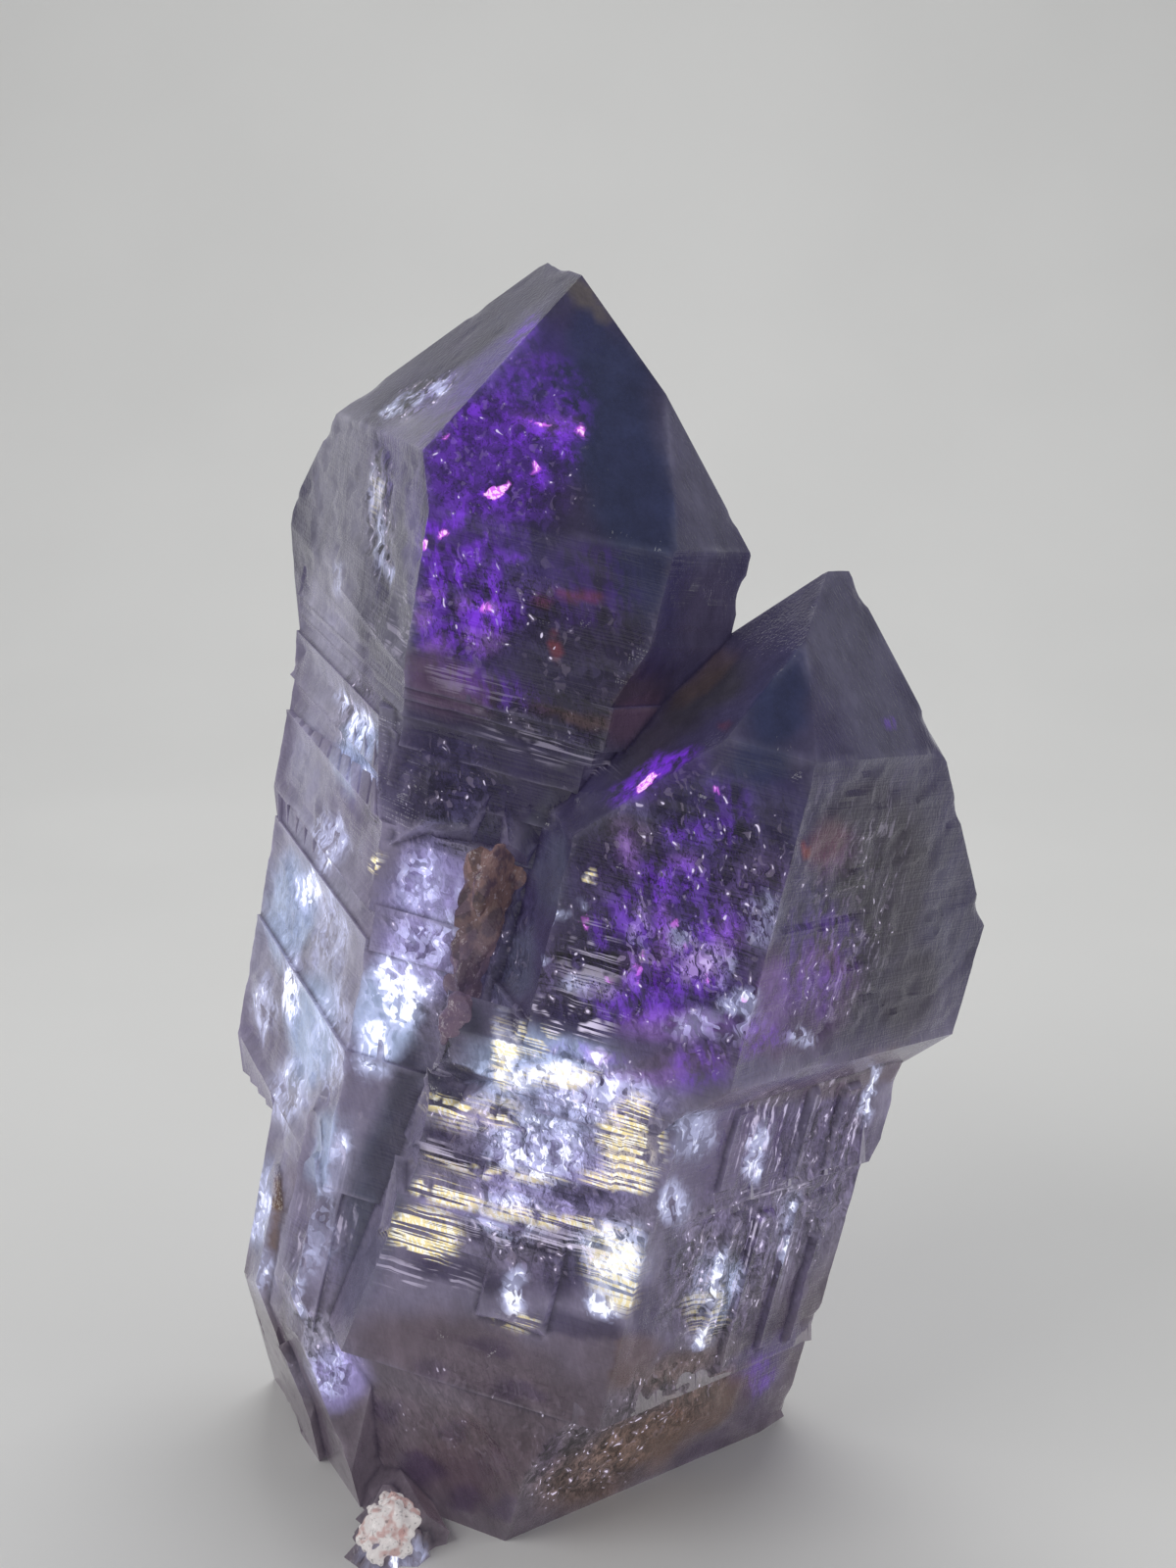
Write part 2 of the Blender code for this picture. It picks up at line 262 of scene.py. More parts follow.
# each noise on the skin: its scale across, in depth and along the crystal, and its seed
weave = {
    "line": ((0.10, 0.10, 1.7), 0),
    "fineLine": ((0.22, 0.22, 4.2), 9),
    "step": ((0.16, 0.16, 0.42), 31),
    "fineStep": ((0.5, 0.5, 0.9), 12),
    "wave": ((0.22, 0.22, 0.20), 4),
    "fineWave": ((0.45, 0.45, 0.5), 21),
    "dent": ((0.75, 0.75, 0.6), 5),
    "fineDent": ((1.5, 1.5, 1.1), 13),
    "rib": ((1.3, 1.3, 0.07), 40),
    "pit": ((0.9, 0.9, 0.9), 55),
    "wear": ((0.35, 0.35, 0.35), 17),
    "zone": ((0.12, 0.12, 0.12), 3),
    "patch": ((0.5, 0.5, 0.28), 81),
    "finePatch": ((1.4, 1.4, 0.8), 82),
    "face": ((2.7, 2.7, 2.7), 91),
}


def weldedCad():
    mesh = bmesh.new()
    mesh.from_mesh(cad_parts["amethyst_crystal"].data)
    bmesh.ops.scale(mesh, vec=(1 / metres,) * 3, verts=mesh.verts)
    bmesh.ops.remove_doubles(mesh, verts=mesh.verts, dist=skin["weld"])
    level = math.radians(skin["level"])
    bmesh.ops.dissolve_limit(mesh, angle_limit=level, verts=mesh.verts[:], edges=mesh.edges[:])
    bmesh.ops.recalc_face_normals(mesh, faces=mesh.faces)
    return mesh


def insideRing(points, ring, margin):
    # which points lie inside a ring of 2-D points, further than the margin from it
    inside = np.zeros(len(points), bool)
    clear = np.full(len(points), True)
    for (ax, ay), (bx, by) in zip(ring, np.roll(ring, -1, axis=0)):
        crosses = (ay > points[:, 1]) != (by > points[:, 1])
        with np.errstate(divide="ignore", invalid="ignore"):
            where = (bx - ax) * (points[:, 1] - ay) / (by - ay) + ax
        inside ^= crosses & (points[:, 0] < where)
        edge = np.array((bx - ax, by - ay))
        share = np.clip(((points - (ax, ay)) @ edge) / max(edge @ edge, 1e-9), 0, 1)
        gap = points - (ax, ay) - share[:, None] * edge
        clear &= (gap * gap).sum(1) > margin * margin
    return inside & clear


def fineSkin():
    # Every flat face is cut into rows that run square to the crystal's axis, as its growth lines do.
    source = weldedCad()
    places = [tuple(v.co) for v in source.verts]
    bends = [0.0] * len(places)  # over 0 on a ridge and under 0 in a crease
    spans = {}
    for edge in source.edges:
        start, end = edge.verts
        bend = edge.calc_face_angle_signed(0.0)
        for vert in edge.verts:
            if abs(bend) > abs(bends[vert.index]):
                bends[vert.index] = bend
        pieces = max(1, round(edge.calc_length() / skin["gapAcross"]))
        inner = [start.co.lerp(end.co, k / pieces) for k in range(1, pieces)]
        ids = [start.index] + list(range(len(places), len(places) + len(inner))) + [end.index]
        places += [tuple(p) for p in inner]
        bends += [bend] * len(inner)
        spans[edge.index] = ids
    border = len(places)
    room = np.full(border, 9.0)  # how far a border point may move, by the narrowest face that it is on
    normals = []
    triangles = []
    for face in source.faces:
        normal = face.normal.copy()
        level = axis.cross(normal)
        level = level.normalized() if level.length > 0.05 else Vector((1, 0, 0))
        rise = normal.cross(level)
        origin = face.verts[0].co
        ring = []
        for loop in face.loops:
            ids = spans[loop.edge.index]
            ring += (ids if ids[0] == loop.vert.index else ids[::-1])[:-1]
        narrow = 0.3 * face.calc_area() / (0.5 * face.calc_perimeter())
        room[ring] = np.minimum(room[ring], narrow)
        offsets = [Vector(places[i]) - origin for i in ring]
        flat = np.array([(offset.dot(level), offset.dot(rise)) for offset in offsets])
        low, high = flat.min(0), flat.max(0)
        rows = np.arange(low[1] + skin["gapAlong"] * 0.5, high[1], skin["gapAlong"])
        grid = []
        for number, y in enumerate(rows):
            begin = low[0] + skin["gapAcross"] * (0.3 + 0.5 * (number % 2))  # each second row is shifted
            grid += [(x, y) for x in np.arange(begin, high[0], skin["gapAcross"])]
        kept = np.zeros((0, 2))
        if grid:
            grid = np.array(grid)
            kept = grid[insideRing(grid, flat, 0.4 * skin["gapAlong"])]
        first = len(places)
        places += [tuple(origin + level * x + rise * y) for x, y in kept]
        known = ring + list(range(first, len(places)))
        spread = [Vector(p) for p in np.vstack((flat, kept))]
        cut = geometry.delaunay_2d_cdt(spread, [], [list(range(len(ring)))], 1, 1e-5)
        names = []
        for point, origins in zip(cut[0], cut[3]):
            if origins:
                names.append(known[origins[0]])
            else:
                names.append(len(places))
                places.append(tuple(origin + level * point.x + rise * point.y))
        corners = [tuple(names[i] for i in corner) for corner in cut[2]]
        triangles += [corner for corner in corners if len(set(corner)) == 3]
        normals += [tuple(normal)] * (len(triangles) - len(normals))
    source.free()
    return np.array(places), triangles, np.array(normals), room, np.array(bends)


def pointNormals(places, triangles, normals):
    corners = np.array(triangles)
    total = np.zeros_like(places)
    for k in range(3):
        np.add.at(total, corners[:, k], normals)
    return total / np.maximum(np.linalg.norm(total, axis=1), 1e-9)[:, None]


def noiseAt(points, scale, seed):
    # smooth noise, about -1 to 1, at points scaled along the crystal's own directions
    scaled = points * np.array(scale) + seed
    return np.array([noise.noise(Vector(p)) for p in scaled])


def ownPlaces(places):
    # places along the crystal's own directions: across, depth and along
    return np.column_stack((places @ np.array(across), places[:, 1], places @ np.array(axis)))


def crumple(own, scale, seed):
    # shallow cells that meet in creases, 0 at their middles to about 1 at the creases
    scaled = own * np.array(scale) + seed
    return np.array([min(noise.voronoi(Vector(p))[0][0], 1.0) for p in scaled])


def edgeGaps(places, border):
    # how far each point is from the nearest edge of the solid, and which border point that is
    tree = KDTree(border)
    for number, place in enumerate(places[:border]):
        tree.insert(place, number)
    tree.balance()
    found = [tree.find(place)[1:] for place in places]
    return np.array([gap for _, gap in found]), np.array([number for number, _ in found])


def relief(places, normals, front, rough, ribbed):
    # how deep each point is pushed in
    own = ownPlaces(places)
    upright = 1 - np.clip((np.abs(normals @ np.array(axis)) - 0.12) / 0.35, 0, 1)
    lines = noiseAt(own, *weave["line"]) + 0.5 * noiseAt(own, *weave["fineLine"])
    depth = upright * skin["striation"] * (0.7 + lines)
    steps = noiseAt(own, *weave["step"]) + 0.5 * noiseAt(own, *weave["fineStep"])
    depth += upright * skin["terrace"] * np.clip((steps - 0.02) / 0.12, 0, 1)
    row = front.pixels(places)[1]
    left = np.clip((-normals[:, 0] - 0.55) / 0.25, 0, 1)
    begin, full, fade, end = skin["waveRows"]
    broad = left * np.clip((row - begin) / (full - begin), 0, 1) * np.clip((end - row) / (end - fade), 0, 1)
    waves = noiseAt(own, *weave["wave"]) + 0.45 * noiseAt(own, *weave["fineWave"])
    depth += broad * skin["ripple"] * (0.75 + waves)
    dented = rough * (0.3 + 0.7 * upright) * skin["crumple"]
    depth += dented * (crumple(own, *weave["dent"]) + 0.5 * crumple(own, *weave["fineDent"]))
    ribs = noiseAt(own, *weave["rib"])
    depth += (ribbed + 0.15 * upright) * skin["rib"] * np.clip((ribs + 0.1) / 0.3, 0, 1)
    pits = noiseAt(own, *weave["pit"])
    depth += skin["pit"] * np.clip((pits - 0.35) / 0.2, 0, 1) * (0.35 + 0.65 * upright)
    return np.maximum(depth, 0)


def smoothStep(value, low, high):
    share = np.clip((value - low) / (high - low), 0, 1)
    return share * share * (3 - 2 * share)


def tone(red, green, blue):
    # a colour as the eye reads it, 0 to 255, made linear
    return tuple(((c / 255 + 0.055) / 1.055) ** 2.4 for c in (red, green, blue))


# The quartz's tints, laid over each other in this order. Each spot is placed by the photograph's pixels:
# x, y, half width, half height, turn, amount.
tints = {
    # grey-lilac of the upper left faces: the clouded quartz with a painted reflection of the grey
    # surroundings
    "film": (tone(120, 118, 134), [
        (470, 350, 120, 60, -38, 1.0), (350, 500, 70, 140, -6, 1.0), (410, 560, 26, 140, 0, 0.9),
        (430, 430, 60, 60, 0, 0.9), (395, 690, 30, 80, 0, 0.6),
    ]),
    "mist": (tone(66, 64, 83), [
        (480, 340, 120, 50, -38, 1.0), (425, 385, 60, 36, -38, 0.9), (580, 280, 30, 24, -30, 0.8),
    ]),
    "milk": (tone(146, 143, 164), [
        (335, 650, 60, 90, 0, 0.9), (320, 760, 50, 80, 0, 0.9), (300, 870, 50, 60, 0, 0.9),
        (270, 960, 40, 80, 5, 0.9), (330, 1000, 50, 140, 5, 0.9), (290, 1120, 50, 60, 0, 0.9),
        (270, 1250, 40, 90, -6, 0.8), (345, 1180, 34, 60, 0, 0.3), (320, 1390, 50, 50, 20, 0.9),
    ]),
    # pale blue-white painted light, laid where the white glow is
    "paleGlow": (tone(167, 182, 217), [
        (290, 930, 40, 60, 5, 0.9), (310, 1050, 50, 60, 5, 1.0), (334, 1180, 30, 50, 0, 0.8),
        (360, 770, 30, 40, 0, 0.8), (392, 1035, 36, 56, 5, 1.0), (545, 1085, 80, 40, -8, 0.8),
        (262, 1230, 20, 60, -4, 0.3), (560, 1150, 60, 30, 0, 0.6), (735, 1320, 26, 44, 14, 0.7),
        (625, 1290, 44, 40, 10, 0.7),
    ]),
    "lilac": (tone(152, 142, 196), [
        (440, 905, 44, 50, 0, 0.9), (425, 975, 44, 50, 5, 0.8), (560, 1200, 90, 60, 0, 0.8),
        (480, 905, 16, 26, 0, 0.6), (620, 1120, 70, 30, 0, 0.7), (345, 1405, 36, 34, 20, 1.0),
        (505, 1140, 60, 30, 0, 0.6), (480, 1240, 60, 40, 10, 0.6), (360, 800, 24, 20, 0, 0.4),
    ]),
    "mauve": (tone(90, 80, 110), [
        (760, 1190, 90, 80, 0, 0.9), (860, 1170, 50, 90, 0, 0.9), (790, 1300, 60, 90, 0, 0.9),
        (690, 1210, 50, 60, 0, 0.6), (700, 1320, 60, 60, 0, 0.6), (740, 1070, 100, 40, -6, 0.9),
        (840, 1100, 100, 24, -16, 0.8), (560, 1300, 60, 30, 10, 0.6), (650, 1370, 80, 26, 0, 0.6),
        (780, 1380, 80, 16, -24, 1.0),
    ]),
    "violet": (tone(64, 42, 108), [
        (505, 470, 90, 100, 8, 1.0), (540, 395, 60, 50, -30, 0.9), (450, 560, 34, 90, 0, 0.9),
        (500, 600, 80, 60, 20, 0.8), (480, 650, 60, 40, 10, 0.5), (670, 800, 66, 22, -28, 0.9),
        (700, 920, 110, 90, 0, 0.75), (690, 1010, 110, 60, 0, 0.7), (625, 960, 36, 60, 0, 0.5),
        (775, 1400, 36, 36, 0, 0.5), (790, 1130, 60, 40, 0, 0.25),
    ]),
    "indigo": (tone(58, 50, 98), [
        (545, 365, 50, 50, -20, 0.9), (580, 440, 40, 60, 0, 0.5), (560, 560, 60, 40, 0, 0.5),
        (760, 830, 80, 50, 0, 0.5),
    ]),
    "plum": (tone(44, 38, 62), [
        (610, 640, 90, 50, 5, 1.0), (650, 600, 60, 60, 0, 0.9), (570, 740, 140, 44, 16, 1.0),
        (640, 700, 70, 36, 0, 0.9), (560, 810, 60, 30, 25, 0.9), (470, 760, 60, 34, 20, 0.8),
        (600, 700, 110, 30, 14, 0.7), (640, 870, 50, 40, 0, 0.7), (560, 760, 110, 40, 20, 0.7),
        (880, 1040, 60, 50, 0, 0.5), (775, 862, 46, 40, 0, 0.7), (450, 790, 60, 50, 0, 0.6),
        (700, 830, 70, 24, -10, 0.5), (600, 1000, 40, 60, 0, 0.35), (590, 540, 40, 60, 0, 0.6),
        (560, 520, 24, 40, 0, 0.3),
    ]),
    "navy": (tone(42, 47, 78), [
        (635, 470, 50, 150, -10, 1.0), (655, 520, 50, 130, -8, 1.0), (620, 390, 56, 60, 0, 0.95),
        (600, 340, 26, 30, 0, 0.9), (795, 715, 36, 66, 15, 1.0), (780, 770, 30, 40, 20, 0.8),
    ]),
    # grey of the faces turned to the right, partly a painted reflection of the surroundings
    "slate": (tone(80, 78, 98), [
        (715, 480, 42, 90, -18, 1.0), (725, 550, 40, 50, -10, 0.8), (870, 670, 60, 80, -20, 1.0),
        (900, 740, 50, 50, 0, 0.9), (850, 590, 30, 40, -20, 0.8), (958, 930, 14, 90, 0, 0.6),
        (945, 830, 14, 60, -12, 0.6), (636, 836, 34, 26, -20, 0.5), (720, 905, 14, 24, 0, 0.4),
        (770, 980, 10, 30, 0, 0.4),
    ]),
    "shade": (tone(50, 44, 72), [  # the hollow under the tall head
        (400, 800, 24, 24, 0, 0.7), (430, 770, 34, 30, 0, 0.9), (424, 820, 30, 24, 0, 0.9),
        (462, 800, 34, 30, 0, 1.0), (470, 836, 36, 22, 0, 1.0), (505, 850, 26, 22, 0, 1.0),
        (510, 810, 34, 34, 0, 1.0), (545, 826, 24, 34, 10, 0.9), (480, 765, 40, 24, 10, 0.9),
        (530, 775, 40, 24, 10, 0.9), (590, 800, 40, 20, -30, 0.7), (440, 862, 30, 9, 0, 0.6),
        (450, 735, 34, 20, 14, 0.8), (575, 760, 40, 24, 10, 0.6), (580, 830, 20, 26, 0, 0.6),
    ]),
    "dusk": (tone(68, 63, 85), [
        (725, 625, 40, 50, 0, 1.0), (705, 700, 60, 34, -38, 0.8),
    ]),
    "olive": (tone(54, 52, 58), [
        (715, 712, 60, 26, -38, 0.9), (660, 760, 60, 20, -38, 0.7),
    ]),
    "smoke": (tone(49, 44, 57), [
        (900, 910, 70, 120, 0, 0.9), (860, 990, 60, 80, 0, 0.8), (930, 1010, 40, 60, 0, 0.8),
        (880, 840, 60, 50, 0, 0.7),
    ]),
    "wine": (tone(88, 64, 92), [
        (838, 1015, 44, 60, 0, 0.8), (800, 1060, 60, 24, -8, 0.6), (850, 870, 36, 34, 0, 0.5),
        (455, 700, 54, 34, 20, 0.7), (640, 735, 44, 16, -30, 0.5), (780, 1000, 30, 60, 0, 0.4),
        (640, 850, 24, 20, 0, 0.4), (700, 1085, 50, 16, 0, 0.4),
    ]),
    "steel": (tone(76, 77, 97), [
        (395, 1200, 34, 140, 16, 1.0), (560, 893, 22, 46, 14, 1.0), (522, 985, 18, 46, 14, 1.0),
        (470, 850, 50, 30, 0, 0.3), (372, 1300, 24, 60, 16, 0.6),
    ]),
    "slab": (tone(62, 60, 78), [
        (452, 1072, 42, 34, -30, 1.0), (412, 1108, 18, 46, 10, 1.0), (478, 1044, 18, 24, 0, 1.0),
        (470, 1094, 20, 18, 0, 1.0), (440, 1098, 26, 20, 0, 1.0), (440, 1128, 34, 20, -30, 1.0),
        (412, 1162, 26, 40, 14, 1.0), (398, 1196, 24, 34, 14, 0.9), (548, 830, 12, 34, 30, 0.9),
        (600, 770, 44, 8, -34, 0.8),
    ]),
    "ash": (tone(98, 86, 98), [
        (470, 1385, 130, 44, 12, 1.0), (860, 1100, 110, 18, -16, 0.9), (740, 1120, 60, 12, -10, 0.6),
        (790, 1118, 40, 14, -14, 0.9), (850, 1108, 40, 14, -16, 0.9), (905, 1090, 40, 14, -20, 0.9),
        (600, 1385, 80, 34, 0, 0.6), (410, 1470, 60, 60, 0, 0.7),
    ]),
    "earth": (tone(86, 73, 82), [
        (500, 1495, 120, 60, 10, 1.0), (440, 1540, 60, 40, 0, 0.9), (560, 1440, 100, 40, 0, 0.6),
    ]),
    "clot": (tone(66, 54, 78), [
        (430, 1500, 26, 16, 20, 0.7), (474, 1530, 20, 18, 0, 0.6), (392, 1440, 20, 14, 0, 0.6),
        (530, 1420, 34, 12, 10, 0.6), (560, 1480, 18, 30, 0, 0.6), (500, 1376, 30, 9, 12, 0.6),
        (440, 1400, 24, 12, 14, 0.5), (636, 1400, 18, 14, 0, 0.6), (520, 1540, 30, 14, 0, 0.7),
        (460, 1460, 16, 12, 0, 0.5), (770, 1440, 24, 24, 0, 0.5), (720, 1480, 40, 14, -20, 0.5),
    ]),
    "violetHaze": (tone(92, 80, 138), [
        (500, 378, 60, 24, -38, 0.8), (530, 345, 34, 14, -38, 0.6), (425, 600, 12, 60, 0, 0.4),
        (420, 560, 10, 90, 0, 0.5), (400, 470, 20, 60, 0, 0.3), (452, 400, 40, 20, -36, 0.6),
    ]),
    "dimViolet": (tone(74, 60, 98), [
        (640, 900, 50, 60, 0, 0.4), (780, 930, 60, 70, 0, 0.6), (820, 1030, 70, 50, 0, 0.7),
        (560, 980, 30, 50, 0, 0.5), (700, 1060, 60, 20, 0, 0.3),
    ]),
    # lighter lilac painted light where the violet glow is brightest
    "bloom": (tone(140, 100, 182), [
        (503, 622, 11, 9, 0, 0.8), (442, 606, 12, 9, 0, 0.6), (432, 632, 9, 12, 0, 0.6),
        (448, 660, 18, 10, 10, 0.5), (492, 656, 22, 12, 10, 0.5), (470, 620, 9, 14, 20, 0.4),
        (506, 648, 16, 6, 30, 0.5), (560, 430, 36, 12, 14, 0.3), (640, 870, 10, 26, 0, 0.4),
        (700, 880, 20, 12, 0, 0.3), (676, 960, 10, 50, 4, 0.6), (740, 960, 14, 26, 0, 0.4),
        (690, 1045, 60, 20, 0, 0.5), (790, 1020, 24, 40, 0, 0.3), (655, 1100, 40, 10, 0, 0.5),
        (640, 990, 20, 20, 0, 0.4),
    ]),
    "strandShade": (tone(50, 42, 72), [
        (575, 1040, 54, 22, 10, 0.9), (600, 960, 34, 60, 0, 0.6), (590, 870, 30, 30, 0, 0.4),
        (470, 1180, 60, 10, 14, 0.8), (590, 1217, 50, 12, 10, 0.7), (470, 1300, 70, 16, 12, 0.8),
        (575, 1300, 26, 34, 0, 0.7), (600, 1355, 70, 14, 10, 0.7), (690, 1280, 16, 50, 0, 0.6),
        (662, 1340, 16, 30, 0, 0.6), (762, 1250, 10, 60, 0, 0.6), (705, 1165, 20, 30, 0, 0.6),
        (838, 1240, 16, 70, 8, 0.5), (440, 1155, 40, 8, 14, 0.8), (545, 1140, 14, 20, 0, 0.5),
        (500, 1265, 30, 8, 10, 0.7), (770, 1350, 40, 20, 0, 0.4), (820, 1140, 12, 40, 8, 0.5),
    ]),
    "ember": (tone(110, 52, 58), [
        (592, 606, 26, 6, 0, 0.55), (548, 614, 14, 7, 0, 0.4), (567, 660, 5, 16, -12, 0.8),
        (825, 866, 7, 8, 0, 1.0), (848, 862, 22, 26, 0, 0.3), (690, 1440, 8, 8, 0, 0.5),
        (740, 740, 6, 6, 0, 0.3),
    ]),
    "clay": (tone(88, 82, 82), [
        (598, 302, 26, 16, 40, 0.95), (614, 322, 14, 10, 40, 0.8),
    ]),
    "rust": (tone(106, 82, 62), [
        (660, 1468, 84, 34, -20, 0.65), (600, 1510, 60, 36, -10, 0.5), (725, 1430, 60, 30, -25, 0.55),
        (690, 1398, 54, 16, -20, 0.4), (640, 1390, 50, 34, 0, 0.45), (286, 1225, 12, 44, 10, 0.9),
        (281, 1262, 10, 20, 0, 0.7), (720, 690, 50, 12, -38, 0.25), (595, 735, 60, 8, 14, 0.35),
        (640, 720, 50, 40, 0, 0.15),
    ]),
}
